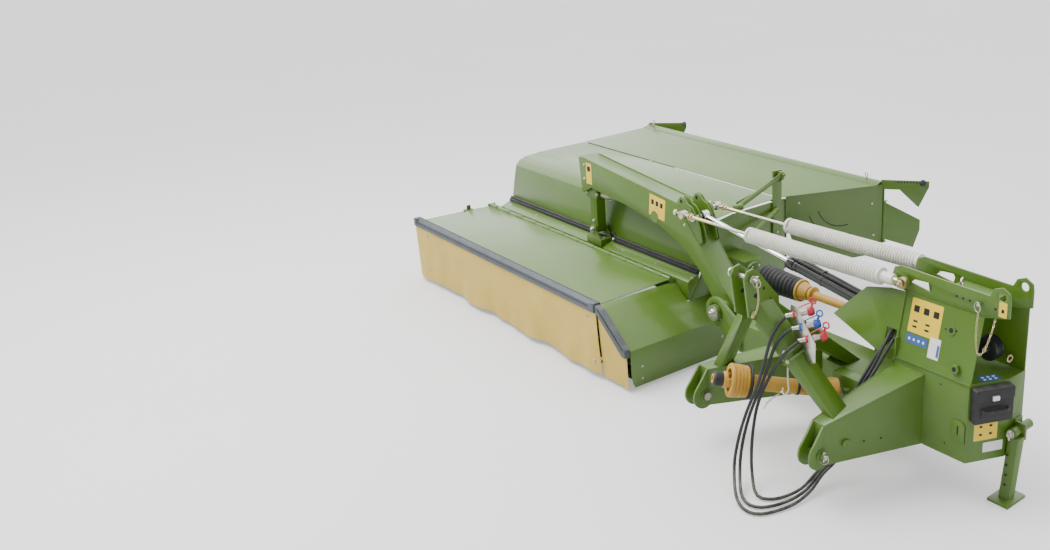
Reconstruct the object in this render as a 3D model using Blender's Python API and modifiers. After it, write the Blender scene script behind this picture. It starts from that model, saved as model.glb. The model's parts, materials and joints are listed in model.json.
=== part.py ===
"""Rear three-point disc mower with tine conditioner, parked on its cutterbar and stand leg.

X runs to the left of the tractor driver, Y to the rear, Z up, all in metres.
Working coordinates put x = 0 on the tractor centre plane and y = 0 on the front edge of the
hood flap; SHIFT_X and SHIFT_Y move the finished machine over the middle of its own footprint.
"""

import math

import bmesh
import bpy
from mathutils import Matrix, Vector

# ---------------------------------------------------------------- driving dimensions
GAP = 0.0003            # clearance between pieces that touch
RUN = 0.006             # clearance beside pieces that move
SHEET = 0.004           # cover sheet
PLATE = 0.010           # bracket plate

SHIFT_X = 1.4125        # machine coordinates -> centre of the footprint
SHIFT_Y = -1.1472

ROTORS = 6
ROTOR_PITCH = 0.442
ROTOR_FIRST_X = -3.630
ROTOR_Y = 0.300
KNIFE_R = 0.250
BAR_Y0, BAR_Y1 = 0.165, 0.470
BAR_Z0, BAR_Z1 = 0.030, 0.085
BAR_X0, BAR_X1 = -3.860, -1.190

FLAP_X0, FLAP_X1 = -3.800, -1.452
FLAP_FRONT_Z = 0.488
HINGE_Y, HINGE_Z, HINGE_R = 0.561, 0.512, 0.016

HOOD_X0, HOOD_X1 = -3.694, -1.306
SEAL_Y, SEAL_Z = 0.690, 0.573
HOOD_TOP = 0.924
GROOVE_Y = 1.420
REAR_Y = 2.190
END_T = 0.006

COND_Y, COND_Z, COND_R = 1.050, 0.560, 0.280

TILT_X, TILT_Y, TILT_Z = -2.360, 0.635, 0.640
BOOM_Y0, BOOM_Y1 = 0.560, 0.722
PIVOT_X, PIVOT_Z = -0.906, 0.467
EAR_X, EAR_Z = -1.240, 1.012
SPRING_F_Y, SPRING_R_Y = 0.508, 0.790
ANCHOR_X, ANCHOR_F_Z = 0.500, 1.042
CYL_Y = 0.650
CYL_EYE_X, CYL_EYE_Z = -1.205, 0.985
CYL_X, CYL_Z = 0.620, 0.715
BARREL = 1.072

HITCH_X, HITCH_Y, HITCH_Z = 0.435, -0.047, 0.284
TOP_Y, TOP_Z = -0.112, 1.098
BODY_Y0, BODY_Y1 = 0.460, 0.800
BODY_Z0, FOLD_Z = 0.240, 0.624
RAIL_F_Y, RAIL_R_Y = 0.555, 0.750
BEAM_Z0, BEAM_Z1 = 0.262, 0.452
SHAFT_Y, SHAFT_Z = 0.950, 0.560
STAND_X, STAND_Y, STAND_Z = 1.080, 0.690, 0.372

# ---------------------------------------------------------------- scene and materials
for old in list(bpy.data.objects):
    bpy.data.objects.remove(old, do_unlink=True)

machine = bpy.data.collections.new("disc_mower")
bpy.context.scene.collection.children.link(machine)


def paint(name, rgb, rough=0.45, metal=0.0):
    mat = bpy.data.materials.new(name)
    mat.use_nodes = True
    bsdf = mat.node_tree.nodes["Principled BSDF"]
    bsdf.inputs["Base Color"].default_value = (rgb[0], rgb[1], rgb[2], 1.0)
    bsdf.inputs["Roughness"].default_value = rough
    bsdf.inputs["Metallic"].default_value = metal
    return mat


TONES = {
    "green": ((0.075, 0.17, 0.028), 0.4, 0.0),
    "rubber": ((0.03, 0.032, 0.035), 0.75, 0.0),
    "slate": ((0.10, 0.13, 0.155), 0.6, 0.0),
    "cloth": ((0.62, 0.45, 0.16), 0.8, 0.0),
    "yellow": ((0.62, 0.36, 0.06), 0.5, 0.0),
    "zinc": ((0.55, 0.53, 0.48), 0.35, 1.0),
    "white": ((0.78, 0.77, 0.70), 0.5, 0.0),
    "chrome": ((0.75, 0.76, 0.78), 0.12, 1.0),
    "steel": ((0.25, 0.25, 0.26), 0.45, 1.0),
    "black": ((0.015, 0.015, 0.016), 0.5, 0.0),
}


# ---------------------------------------------------------------- solids
def mesh_of(ob):
    """Evaluated mesh of a helper object as a welded bmesh; the helper is removed."""
    graph = bpy.context.evaluated_depsgraph_get()
    me = bpy.data.meshes.new_from_object(ob.evaluated_get(graph))
    bpy.data.objects.remove(ob, do_unlink=True)
    bm = bmesh.new()
    bm.from_mesh(me)
    bmesh.ops.remove_doubles(bm, verts=bm.verts, dist=0.00002)
    bmesh.ops.recalc_face_normals(bm, faces=bm.faces)
    return bm


def helper(name, data):
    ob = bpy.data.objects.new(name, data)
    bpy.context.scene.collection.objects.link(ob)
    return ob


def moved(bm, matrix):
    bmesh.ops.transform(bm, matrix=matrix, verts=bm.verts)
    bmesh.ops.recalc_face_normals(bm, faces=bm.faces)
    return bm


def outline_solid(outline, depth):
    """Flat outline in local x and y, thickened by depth about z = 0."""
    data = bpy.data.curves.new("outline", "CURVE")
    data.dimensions = "2D"
    data.fill_mode = "BOTH"
    data.extrude = depth / 2
    line = data.splines.new("POLY")
    line.points.add(len(outline) - 1)
    for point, place in zip(line.points, outline):
        point.co = (place[0], place[1], 0, 1)
    line.use_cyclic_u = True
    return mesh_of(helper("outline", data))


def prism(outline, axis, a, b):
    """Closed outline pushed from a to b along axis; outline is (y,z), (x,z) or (x,y)."""
    mid = (a + b) / 2
    turn = {
        "x": Matrix(((0, 0, 1, mid), (1, 0, 0, 0), (0, 1, 0, 0), (0, 0, 0, 1))),
        "y": Matrix(((1, 0, 0, 0), (0, 0, 1, mid), (0, 1, 0, 0), (0, 0, 0, 1))),
        "z": Matrix(((1, 0, 0, 0), (0, 1, 0, 0), (0, 0, 1, mid), (0, 0, 0, 1))),
    }[axis]
    return moved(outline_solid(outline, b - a), turn)


def block(x0, x1, y0, y1, z0, z1):
    bm = bmesh.new()
    bmesh.ops.create_cube(bm, size=1)
    size = Matrix.Diagonal((x1 - x0, y1 - y0, z1 - z0, 1))
    return moved(bm, Matrix.Translation(((x0 + x1) / 2, (y0 + y1) / 2, (z0 + z1) / 2)) @ size)


def along(p, q):
    """Matrix that puts local z on the line from p to q, with its zero at p."""
    p, q = Vector(p), Vector(q)
    return Matrix.Translation(p) @ (q - p).to_track_quat("Z", "Y").to_matrix().to_4x4()


def turned(profile, p, q, seg):
    """Solid of revolution: closed profile of (radius, distance from p) about the line p to q."""
    me = bpy.data.meshes.new("profile")
    n = len(profile)
    me.from_pydata([(r, 0, t) for r, t in profile], [(i, (i + 1) % n) for i in range(n)], [])
    ob = helper("profile", me)
    screw = ob.modifiers.new("turn", "SCREW")
    screw.steps = seg
    screw.render_steps = seg
    screw.use_merge_vertices = True
    screw.merge_threshold = 0.00002
    return moved(mesh_of(ob), along(p, q))


def rod(p, q, r, seg=24, r2=None, bore=0.0):
    """Cylinder or cone from p to q, or a tube where bore is given."""
    r2 = r if r2 is None else r2
    far = (Vector(q) - Vector(p)).length
    if bore:
        return turned([(bore, 0), (r, 0), (r2, far), (bore, far)], p, q, seg)
    bm = bmesh.new()
    bmesh.ops.create_cone(bm, cap_ends=True, segments=seg, radius1=r, radius2=r2, depth=far,
                          matrix=Matrix.Translation((0, 0, far / 2)))
    return moved(bm, along(p, q))


def fold(points, t, axis, a, b):
    """Bent sheet: open polyline in (y,z) or (x,z) drawn along axis, thickened to its left."""
    place = (lambda u, v: (a, u, v)) if axis == "x" else (lambda u, v: (u, a, v))
    step = Vector((b - a, 0, 0)) if axis == "x" else Vector((0, b - a, 0))
    bm = bmesh.new()
    verts = [bm.verts.new(place(u, v)) for u, v in points]
    edges = [bm.edges.new(pair) for pair in zip(verts, verts[1:])]
    grown = bmesh.ops.extrude_edge_only(bm, edges=edges)
    new = [g for g in grown["geom"] if isinstance(g, bmesh.types.BMVert)]
    bmesh.ops.translate(bm, verts=new, vec=step)
    first = Vector((points[1][0] - points[0][0], points[1][1] - points[0][1]))
    left = Vector((-first.y, first.x))
    left = Vector((0, left.x, left.y)) if axis == "x" else Vector((left.x, 0, left.y))
    bm.faces.ensure_lookup_table()
    bmesh.ops.recalc_face_normals(bm, faces=bm.faces)
    start = min(bm.faces, key=lambda f: (f.calc_center_median() - Vector(place(*points[0])) - step / 2).length)
    side = 1.0 if start.normal.dot(left) > 0 else -1.0
    me = bpy.data.meshes.new("sheet")
    bm.to_mesh(me)
    bm.free()
    ob = helper("sheet", me)
    thick = ob.modifiers.new("thick", "SOLIDIFY")
    thick.thickness = abs(t)
    thick.offset = side * (1 if t > 0 else -1)
    thick.use_even_offset = True
    return mesh_of(ob)


def hexa(front, back):
    """Tapered box lofted between two unlike four-cornered ends given in the same turn."""
    bm = bmesh.new()
    f = [bm.verts.new(p) for p in front]
    k = [bm.verts.new(p) for p in back]
    bm.faces.new(f)
    bm.faces.new(k)
    for i in range(4):
        j = (i + 1) % 4
        bm.faces.new((f[i], f[j], k[j], k[i]))
    bmesh.ops.triangulate(bm, faces=bm.faces[:])
    bmesh.ops.recalc_face_normals(bm, faces=bm.faces)
    return bm


def slab(start, ahead, up, outline, t):
    """Flat plate in any plane: outline in (ahead, up) metres from start, thickness t."""
    e1 = Vector(ahead).normalized()
    n = e1.cross(Vector(up)).normalized()
    e2 = n.cross(e1)
    turn = Matrix((e1, e2, n)).transposed().to_4x4()
    return moved(outline_solid(outline, t), Matrix.Translation(Vector(start) + n * (t / 2)) @ turn)


def arc(cx, cy, r, a0, a1, n):
    out = []
    for i in range(n + 1):
        a = math.radians(a0 + (a1 - a0) * i / n)
        out.append((cx + r * math.cos(a), cy + r * math.sin(a)))
    return out


def wire(points, r, rings=1):
    """Round bar through points, with filled ends."""
    data = bpy.data.curves.new("wire", "CURVE")
    data.dimensions = "3D"
    data.bevel_depth = r
    data.bevel_resolution = rings
    data.use_fill_caps = True
    line = data.splines.new("POLY")
    line.points.add(len(points) - 1)
    for point, place in zip(line.points, points):
        point.co = (place[0], place[1], place[2], 1)
    return mesh_of(helper("wire", data))


def raw(bm, name):
    me = bpy.data.meshes.new(name)
    bm.to_mesh(me)
    bm.free()
    return helper(name, me)


def combine(base, others, how):
    for other in others:
        mod = base.modifiers.new("join", "BOOLEAN")
        mod.operation = how
        mod.solver = "EXACT"
        mod.object = other
        graph = bpy.context.evaluated_depsgraph_get()
        me = bpy.data.meshes.new_from_object(base.evaluated_get(graph))
        base.modifiers.clear()
        base.data = me
        bpy.data.objects.remove(other, do_unlink=True)


def node(name, tone, pieces, cuts=(), origin=(0, 0, 0)):
    """One named piece: its pieces are welded into one solid and the cuts taken out."""
    objs = [raw(bm, name + "_p") for bm in pieces]
    base = objs[0]
    combine(base, objs[1:], "UNION")
    combine(base, [raw(bm, name + "_c") for bm in cuts], "DIFFERENCE")
    bm = bmesh.new()
    bm.from_mesh(base.data)
    bmesh.ops.remove_doubles(bm, verts=bm.verts, dist=0.00002)
    bmesh.ops.dissolve_degenerate(bm, edges=bm.edges, dist=0.00002)
    bmesh.ops.translate(bm, verts=bm.verts, vec=-Vector(origin))
    me = bpy.data.meshes.new(name)
    bm.to_mesh(me)
    bm.free()
    bpy.data.objects.remove(base, do_unlink=True)
    ob = bpy.data.objects.new(name, me)
    ob.location = Vector(origin) + Vector((SHIFT_X, SHIFT_Y, 0))
    rgb, rough, metal = TONES[tone]
    me.materials.append(paint(name + "_" + tone, rgb, rough, metal))
    machine.objects.link(ob)
    return ob


TILT = (TILT_X, TILT_Y, TILT_Z)
FOLD = (PIVOT_X, (BOOM_Y0 + BOOM_Y1) / 2, PIVOT_Z)

# ---------------------------------------------------------------- cutterbar
rotor_x = [ROTOR_FIRST_X + ROTOR_PITCH * i for i in range(ROTORS)]
bar_outline = [
    (BAR_Y0, 0.050), (BAR_Y0 + 0.020, BAR_Z0), (BAR_Y1, BAR_Z0), (BAR_Y1, BAR_Z1),
    (BAR_Y0 + 0.020, BAR_Z1), (BAR_Y0, 0.062),
]
skids = []
for x in rotor_x:
    skid = [(0.075, 0.030), (0.110, 0.004), (0.150, 0.0), (0.520, 0.0), (0.550, 0.012),
            (0.550, 0.020), (0.470, 0.036), (0.160, 0.036), (0.085, 0.040)]
    skids.append(prism(skid, "x", x - 0.165, x + 0.165))
node("cutter_bar", "green", [prism(bar_outline, "x", BAR_X0, BAR_X1)] + skids, origin=TILT)

for i, x in enumerate(rotor_x):
    turn = 90 * (i % 2)
    hub = rod((x, ROTOR_Y, BAR_Z1 + GAP), (x, ROTOR_Y, 0.104), 0.060, 24)
    oval = []
    for k in range(28):
        a = 2 * math.pi * k / 28
        px, py = 0.172 * math.cos(a), 0.118 * math.sin(a)
        c, s = math.cos(math.radians(turn)), math.sin(math.radians(turn))
        oval.append((x + px * c - py * s, ROTOR_Y + px * s + py * c))
    plate = prism(oval, "z", 0.102, 0.116)
    if i in (0, ROTORS - 1):
        cap = rod((x, ROTOR_Y, 0.112), (x, ROTOR_Y, 0.290), 0.112, 24, 0.086)
    else:
        cap = rod((x, ROTOR_Y, 0.112), (x, ROTOR_Y, 0.136), 0.085, 24, 0.055)
    knives = []
    for side in (0, 180):
        a = math.radians(turn + side)
        ux, uy = math.cos(a), math.sin(a)
        knife = []
        for r, w in ((0.128, -0.020), (KNIFE_R - 0.004, -0.024), (KNIFE_R - 0.004, 0.024), (0.128, 0.020)):
            knife.append((x + ux * r - uy * w, ROTOR_Y + uy * r + ux * w))
        knives.append(prism(knife, "z", 0.0970, 0.1030))
    node("rotor_%d" % (i + 1), "steel", [hub, plate, cap] + knives, origin=(x, ROTOR_Y, 0.10))

# ---------------------------------------------------------------- deck frame and covers
side_outline = [
    (BAR_Y1 + GAP, 0.040), (0.5515, 0.040), (0.560, 0.0), (0.900, 0.0), (1.010, 0.100), (1.420, 0.200), (1.470, 0.260),
    (1.470, HOOD_TOP - 0.012), (0.980, 0.900), (0.862, 0.880), (0.772, 0.832),
    (0.728, 0.640), (0.702, 0.545), (0.600, 0.380), (0.540, 0.085), (BAR_Y1 + GAP, 0.082),
]
near_hole = rod((HOOD_X1 - 0.02, SHAFT_Y, SHAFT_Z - 0.02), (HOOD_X1 + 0.02, SHAFT_Y, SHAFT_Z - 0.02), 0.070, 24)
beam_outline = [(0.592, 0.395), (0.592, 0.520), (0.684, 0.558), (0.684, 0.395)]
beam_x0, beam_x1 = HOOD_X0 + END_T + GAP, HOOD_X1 - END_T - GAP
lug_near = block(FLAP_X1 + GAP, FLAP_X1 + 0.0083, 0.545, 0.596, 0.496, 0.519)
arm_far = block(-3.822, -3.680, 0.594, 0.604, 0.470, 0.510)
lug_far = block(-3.822, FLAP_X0 - GAP, 0.5403, 0.600, 0.464, 0.524)
node("deck_frame", "green",
     [lug_near, arm_far, lug_far,
      prism(beam_outline, "x", HOOD_X0 + 0.002, HOOD_X1 - 0.002), prism(side_outline, "x", HOOD_X0, HOOD_X0 + END_T),
      prism(side_outline, "x", HOOD_X1 - END_T, HOOD_X1)], cuts=[near_hole], origin=TILT)

hood_line = [
    (SEAL_Y + 0.010, SEAL_Z - 0.010), (0.728, 0.720), (0.752, 0.836), (0.785, 0.872), (0.838, 0.893),
    (0.980, 0.910), (GROOVE_Y - 0.012, HOOD_TOP), (GROOVE_Y, HOOD_TOP - 0.016),
]
node("conditioner_hood", "green",
     [fold(hood_line, SHEET, "x", beam_x0, beam_x1)], origin=TILT)

# rear cover with its stiff rear rail, sitting on the end plates and side panels
rail_line = [
    (REAR_Y - 0.072, HOOD_TOP + 0.010), (REAR_Y - 0.022, HOOD_TOP + 0.028), (REAR_Y, HOOD_TOP + 0.028),
    (REAR_Y, HOOD_TOP - 0.030),
]
cover = slab((0, 0, HOOD_TOP - 0.011), (1, 0, 0), (0, 1, 0.009),
             [(HOOD_X0 + 0.001, GROOVE_Y + 0.006), (HOOD_X1 + 0.002, GROOVE_Y + 0.006), (-1.030, REAR_Y - 0.060),
              (-3.780, REAR_Y - 0.060)], SHEET)
rear_parts = [cover, fold(rail_line, SHEET, "x", -3.780, -1.030)]

# rear side panels flare out to the ends of the rear rail
flare_near = Vector((-1.028 + 1.303, REAR_Y - 0.002 - 1.472, 0))
panel = [(0.0, 0.0), (0.10, -0.30), (0.22, -0.36), (flare_near.length, -0.34), (flare_near.length, 0.1815),
         (0.0, 0.1765)]
flare_far = Vector((-3.776 + 3.698, REAR_Y - 0.020 - 1.476, 0))
panel_f = [(0.0, 0.0), (0.10, -0.30), (0.22, -0.36), (flare_far.length, -0.34), (flare_far.length, 0.1815),
           (0.0, 0.1765)]
rear_parts.append(slab((-1.303, 1.472, 0.752), flare_near, (0, 0, 1), panel, SHEET))
rear_parts.append(slab((-3.694, 1.476, 0.752), flare_far, (0, 0, 1), panel_f, SHEET))

# tabs that carry the swath plate pins
for x in (-1.030, -3.780):
    rear_parts.append(block(x - 0.018, x + 0.018, 2.1900, 2.1940, 0.8003, 0.900))
    rear_parts.append(block(x - 0.018, x + 0.018, 2.1900, 2.2320, 0.8003, 0.808))
    rear_parts.append(block(x - 0.018, x + 0.018, 2.1600, 2.2320, 0.492, 0.4997))

# swath plates hang on upright pins behind the side panels
swath_near_at = (-1.030, REAR_Y + 0.022, 0.640)
wing = [(0.014, 0.150), (0.300, -0.010), (0.300, -0.090), (0.250, -0.220), (0.014, -0.130)]
node("swath_plate_near", "green",
     [slab(swath_near_at, (0.45, 1, 0), (0, 0, 1), wing, SHEET),
      rod((-1.030, REAR_Y + 0.022, 0.500), (-1.030, REAR_Y + 0.022, 0.800), 0.016, 16)],
     origin=swath_near_at)
swath_far_at = (-3.780, REAR_Y + 0.022, 0.640)
node("swath_plate_far", "green",
     [slab(swath_far_at, (-0.10, 1, 0), (0, 0, 1), wing, SHEET),
      rod((-3.780, REAR_Y + 0.022, 0.500), (-3.780, REAR_Y + 0.022, 0.800), 0.016, 16)],
     origin=swath_far_at)

# quadrant plates above the rear rail ends
rear_cuts = []
quad = [(-0.012, -0.025), (-0.012, 0.045), (0.330, 0.045), (0.330, 0.0), (0.262, -0.150), (0.245, -0.140),
        (0.120, -0.025)]
slot_q = [(0.300, 0.010), (0.312, 0.0), (0.262, -0.110), (0.250, -0.100)]
for start, ahead in (((-1.026, REAR_Y - 0.003, HOOD_TOP), (0.62, 0.50, 0)),
                     ((-3.774, REAR_Y - 0.003, HOOD_TOP), (0.35, 0.40, 0))):
    rear_parts.append(slab(start, ahead, (0, 0, 1), quad, 0.005))
    rear_cuts.append(slab(Vector(start) + Vector((0.02, -0.02, 0)), ahead, (0, 0, 1), slot_q, 0.05))
node("rear_cover", "green", rear_parts, cuts=rear_cuts, origin=TILT)

# upright with two braces at the near side of the hood
post_x = HOOD_X1 + GAP
post = block(post_x, post_x + 0.012, 1.345, 1.4252, 0.640, 1.130)
knee = rod((post_x + 0.019, 1.395, 1.085), (-1.190, 0.925, 0.985), 0.017, 16)
low = rod((post_x + 0.019, 1.380, 0.860), (-1.190, 1.000, 0.745), 0.017, 16)
bow = []
for k in range(9):
    a = math.radians(8 + 74 * k / 8)
    bow.append((0.900 + 0.500 * math.sin(a), 0.985 + 0.140 * math.sin(a) ** 1.4))
bow_in = [(p[0] + 0.012, p[1] - 0.022) for p in reversed(bow)]
node("hood_post", "green", [post, knee, low, prism(bow + bow_in, "x", -1.262, -1.256),
                            block(post_x + 0.006, -1.250, 1.385, 1.405, 1.070, 1.122)], origin=TILT)

# angle gearbox for the bar on the near side, input facing the headstock
box_x0 = HOOD_X1 + GAP
node("deck_gearbox", "green",
     [block(box_x0, -1.075, 0.870, 1.030, SHAFT_Z - 0.120, SHAFT_Z + 0.090),
      rod((-1.085, SHAFT_Y, SHAFT_Z), (-1.050, SHAFT_Y, SHAFT_Z), 0.078, 32),
      rod((-1.190, SHAFT_Y, 0.180), (-1.190, SHAFT_Y, SHAFT_Z), 0.062, 24)], origin=TILT)

# conditioner rotor: tube with free-standing tines
tines = [rod((beam_x0 + 0.030, COND_Y, COND_Z), (beam_x1 - 0.030, COND_Y, COND_Z), 0.084, 24)]
tines.append(rod((beam_x0, COND_Y, COND_Z), (beam_x1, COND_Y, COND_Z), 0.030, 24))
count = 26
for k in range(count):
    x = beam_x0 + 0.10 + (beam_x1 - beam_x0 - 0.20) * k / (count - 1)
    a = math.radians(137 * k)
    d = Vector((0, math.cos(a), math.sin(a)))
    mid = Vector((x, COND_Y, COND_Z))
    tines.append(slab(mid - Vector((0.006, 0, 0)) + d * 0.070, d, d.cross(Vector((1, 0, 0))),
                      [(0, -0.030), (COND_R - 0.070, -0.022), (COND_R - 0.070, 0.022), (0, 0.030)], 0.012))
node("conditioner_rotor", "steel", tines, origin=(-2.5, COND_Y, COND_Z))

# guards at both ends
guard_line = [(-1.4455, 0.4880), (-1.402, 0.462), (-1.150, 0.270), (-1.150, 0.024)]
node("guard_near", "green", [fold(guard_line, SHEET, "y", 0.004, 0.830)],
     cuts=[slab((-1.30, -0.02, -0.02), (0, 1, 0), (0, 0, 1),
                [(0, 0), (0.095, 0), (0.060, 0.030), (0.036, 0.075), (0.026, 0.13), (0.0236, 0.20), (0, 0.20)],
                0.4), block(-1.480, HOOD_X1 + GAP, 0.585, 0.850, 0.300, 0.520)], origin=TILT)
guard_f_line = [(-3.955, 0.060), (-3.955, 0.455), (-3.930, 0.470), (-3.8140, 0.470)]
far_hinge = (-3.811, 0.300, 0.4745)
far_tube = rod((-3.811, 0.030, 0.4745), (-3.811, 0.540, 0.4745), 0.0100, 16)
node("guard_far", "green", [fold(guard_f_line, -SHEET, "y", 0.020, 0.535), far_tube], origin=far_hinge)

# front flap hinged along its rear edge, with edge bead and cloth curtain
HINGE = (-2.6, HINGE_Y, HINGE_Z)
flap_line = [(0.012, FLAP_FRONT_Z), (HINGE_Y - 0.010, HINGE_Z - 0.004)]
node("front_flap", "green",
     [fold(flap_line, SHEET, "x", FLAP_X0, FLAP_X1),
      rod((FLAP_X0, HINGE_Y, HINGE_Z), (FLAP_X1, HINGE_Y, HINGE_Z), HINGE_R, 20)], origin=HINGE)
bead = [(0.0117, 0.4985), (-0.014, 0.4985), (-0.034, 0.484), (-0.041, 0.455), (-0.041, 0.440), (-0.020, 0.440),
        (-0.014, 0.470), (0.0117, 0.480)]
node("edge_bead", "slate", [prism(bead, "x", -3.940, -1.458)], origin=HINGE)
curtain_outline = [(-3.935, 0.4397), (-1.530, 0.4397), (-1.420, 0.034), (-3.925, 0.034)]
node("front_curtain", "cloth", [prism(curtain_outline, "y", -0.034, -0.028)], origin=HINGE)
corner = [(-1.450, 0.490), (-1.400, 0.475), (-1.155, 0.285), (-1.1505, 0.235), (-1.185, 0.235), (-1.420, 0.425),
          (-1.450, 0.440)]
node("corner_bead", "slate", [prism(corner, "y", -0.036, 0.0037)], origin=TILT)
flank = [(-1.445, 0.4197), (-1.4205, 0.4197), (-1.1855, 0.2347), (-1.152, 0.2347), (-1.152, 0.024), (-1.405, 0.024)]
node("corner_curtain", "cloth", [prism(flank, "y", -0.022, -0.016)], origin=TILT)

# bracket on the deck that takes the hanger
ears = []
for y in (TILT_Y - 0.050, TILT_Y + 0.038):
    outline = [(TILT_X - 0.075, 0.5620), (TILT_X + 0.085, 0.5620)] + arc(TILT_X, TILT_Z, 0.034, -10, 190, 10)
    ears.append(prism(outline, "y", y, y + PLATE))
foot_line = [(0.584, 0.5172), (0.6835, 0.5583), (0.6835, 0.5760), (0.584, 0.5740)]
ears.append(rod((TILT_X, TILT_Y - 0.062, TILT_Z), (TILT_X, TILT_Y + 0.060, TILT_Z), 0.0148, 24))
node("hanger_bracket", "green", ears + [prism(foot_line, "x", TILT_X - 0.085, TILT_X + 0.090)], origin=TILT)

# ---------------------------------------------------------------- boom and hanger
boom_outline = [
    (-2.468, 1.160), (-1.355, 1.042), (-1.220, 0.895), (-1.147, 0.819), (-1.039, 0.700), (-0.838, 0.520),
]
boom_outline += arc(PIVOT_X, PIVOT_Z, 0.088, 38, -142, 10)
boom_outline += [
    (-1.043, 0.523), (-1.164, 0.662), (-1.263, 0.739), (-1.378, 0.797), (-1.548, 0.857), (-1.740, 0.889),
    (-1.925, 0.920), (-2.148, 0.937), (-2.325, 0.957), (-2.437, 0.900),
]
bush = rod((PIVOT_X, 0.470, PIVOT_Z), (PIVOT_X, 0.7635, PIVOT_Z), 0.052, 28)
bore = rod((PIVOT_X, 0.46, PIVOT_Z), (PIVOT_X, 0.78, PIVOT_Z), 0.0256, 28)
ear_rows = []
for y in (BOOM_Y0 + 0.004, CYL_Y - 0.050, CYL_Y + 0.040, BOOM_Y1 - 0.014):
    outline = [(-1.380, 1.030), (-1.240, 0.890), (-1.160, 0.810), (-1.128, 0.842), (-1.150, 0.930),
               (-1.196, 1.020), (-1.225, 1.052), (-1.262, 1.062), (-1.292, 1.092), (-1.330, 1.100),
               (-1.352, 1.080)]
    ear_rows.append(prism(outline, "y", y, y + PLATE))
hood_relief = block(-1.450, -1.290, SEAL_Y + 0.004, BOOM_Y1 + 0.010, 0.700, 0.822)
node("boom", "green", [prism(boom_outline, "y", BOOM_Y0, BOOM_Y1), bush] + ear_rows, cuts=[bore, hood_relief],
     origin=FOLD)
node("hanger", "green",
     [block(TILT_X - 0.042, TILT_X + 0.042, TILT_Y - 0.0395, TILT_Y + 0.0325, TILT_Z + 0.020, 0.878),
      rod((TILT_X, TILT_Y - 0.0395, TILT_Z), (TILT_X, TILT_Y + 0.0325, TILT_Z), 0.032, 24),
      prism([(-2.420, 0.865), (-2.300, 0.865), (-2.300, 0.935), (-2.326, 0.9561), (-2.4370, 0.8996)], "y",
            TILT_Y - 0.050, TILT_Y + 0.050)],
     cuts=[rod((TILT_X, 0.5, TILT_Z), (TILT_X, 0.8, TILT_Z), 0.0151, 24)], origin=FOLD)

# ---------------------------------------------------------------- headstock
near_front = [(0.3900, -0.020, 0.215), (0.4740, -0.020, 0.215), (0.4740, -0.020, 0.432), (0.3900, -0.020, 0.432)]
near_back = [(0.5000, 0.4597, 0.240), (0.6960, 0.4597, 0.240), (0.6960, 0.4597, 0.624), (0.5000, 0.4597, 0.624)]
far_front = [(-0.4740, -0.020, 0.215), (-0.3900, -0.020, 0.215), (-0.3900, -0.020, 0.432), (-0.4740, -0.020, 0.432)]
far_back = [(-0.2300, 0.4997, 0.255), (-0.0300, 0.4997, 0.255), (-0.0300, 0.4997, 0.510), (-0.2300, 0.4997, 0.510)]


def clevis(x0, x1):
    outline = arc(HITCH_Y, HITCH_Z, 0.078, 130, 300, 12) + [(0.010, 0.216), (0.010, 0.430), (-0.030, 0.430)]
    return prism(outline, "x", x0, x1)


for tag, front, back, x0, x1 in (("near", near_front, near_back, 0.390, 0.474),
                                 ("far", far_front, far_back, -0.474, -0.390)):
    pin = rod((x0 - 0.020, HITCH_Y, HITCH_Z), (x1 + 0.016, HITCH_Y, HITCH_Z), 0.0141, 24)
    node("lower_arm_" + tag, "green",
         [hexa(front, back), clevis(x0, x0 + 0.012), clevis(x1 - 0.012, x1), pin])

lug = [(-0.690, 0.270), (-0.690, 0.445)] + arc(PIVOT_X, PIVOT_Z, 0.095, 70, 290, 14)
node("cross_beam", "green",
     [block(-0.770, 0.4997, 0.500, 0.790, BEAM_Z0, BEAM_Z1), prism(lug, "y", 0.4797, 0.5050),
      prism(lug, "y", 0.7850, 0.8100)],
     cuts=[rod((PIVOT_X, 0.40, PIVOT_Z), (PIVOT_X, 0.60, PIVOT_Z), 0.0590, 28),
           rod((PIVOT_X, 0.70, PIVOT_Z), (PIVOT_X, 0.90, PIVOT_Z), 0.0253, 28)])
node("pivot_pin", "zinc",
     [rod((PIVOT_X, 0.4520, PIVOT_Z), (PIVOT_X, 0.8220, PIVOT_Z), 0.0250, 28),
      rod((PIVOT_X, 0.4500, PIVOT_Z), (PIVOT_X, 0.4637, PIVOT_Z), 0.0480, 28)])

# drive body: front wall, side walls, back wall and floor of bent plate around the belt drive
T = 0.008
front_wall = fold([(BODY_Y0, BODY_Z0), (BODY_Y0, FOLD_Z), (0.543, 0.985)], -T, "x", 0.500, 0.960)
hose_cut = block(0.424, 0.490, 0.420, 0.515, 0.684, 0.788)
wing_plate = slab((0.500, BODY_Y0 + 0.0005, FOLD_Z), (1, 0, 0), (0, 0.083, 0.361),
                  [(0, 0.0), (-0.060, 0.010), (-0.440, 0.130), (-0.250, 0.330), (-0.100, 0.365), (0.002, 0.371)], T)
side_wall = prism([(0.952, BODY_Y0), (0.960, BODY_Y0), (1.052, 0.660), (1.052, BODY_Y1), (1.044, BODY_Y1),
                   (1.044, 0.662)], "z", BODY_Z0, 0.660)
back_wall = prism([(0.500, BODY_Z0), (1.050, BODY_Z0), (1.050, 1.060), (0.620, 1.060), (0.600, 0.985),
                   (0.440, 0.980), (0.500, 0.700)], "y", BODY_Y1 - T, BODY_Y1)
inner_wall = block(0.500, 0.500 + T, BODY_Y0, BODY_Y1, BODY_Z0, 0.760)
barrel_cut = block(0.490, 0.520, CYL_Y - 0.042, CYL_Y + 0.042, 0.660, 0.800)
hose_stop = block(0.425, 0.504, 0.5200, 0.5280, 0.700, 0.790)
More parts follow.
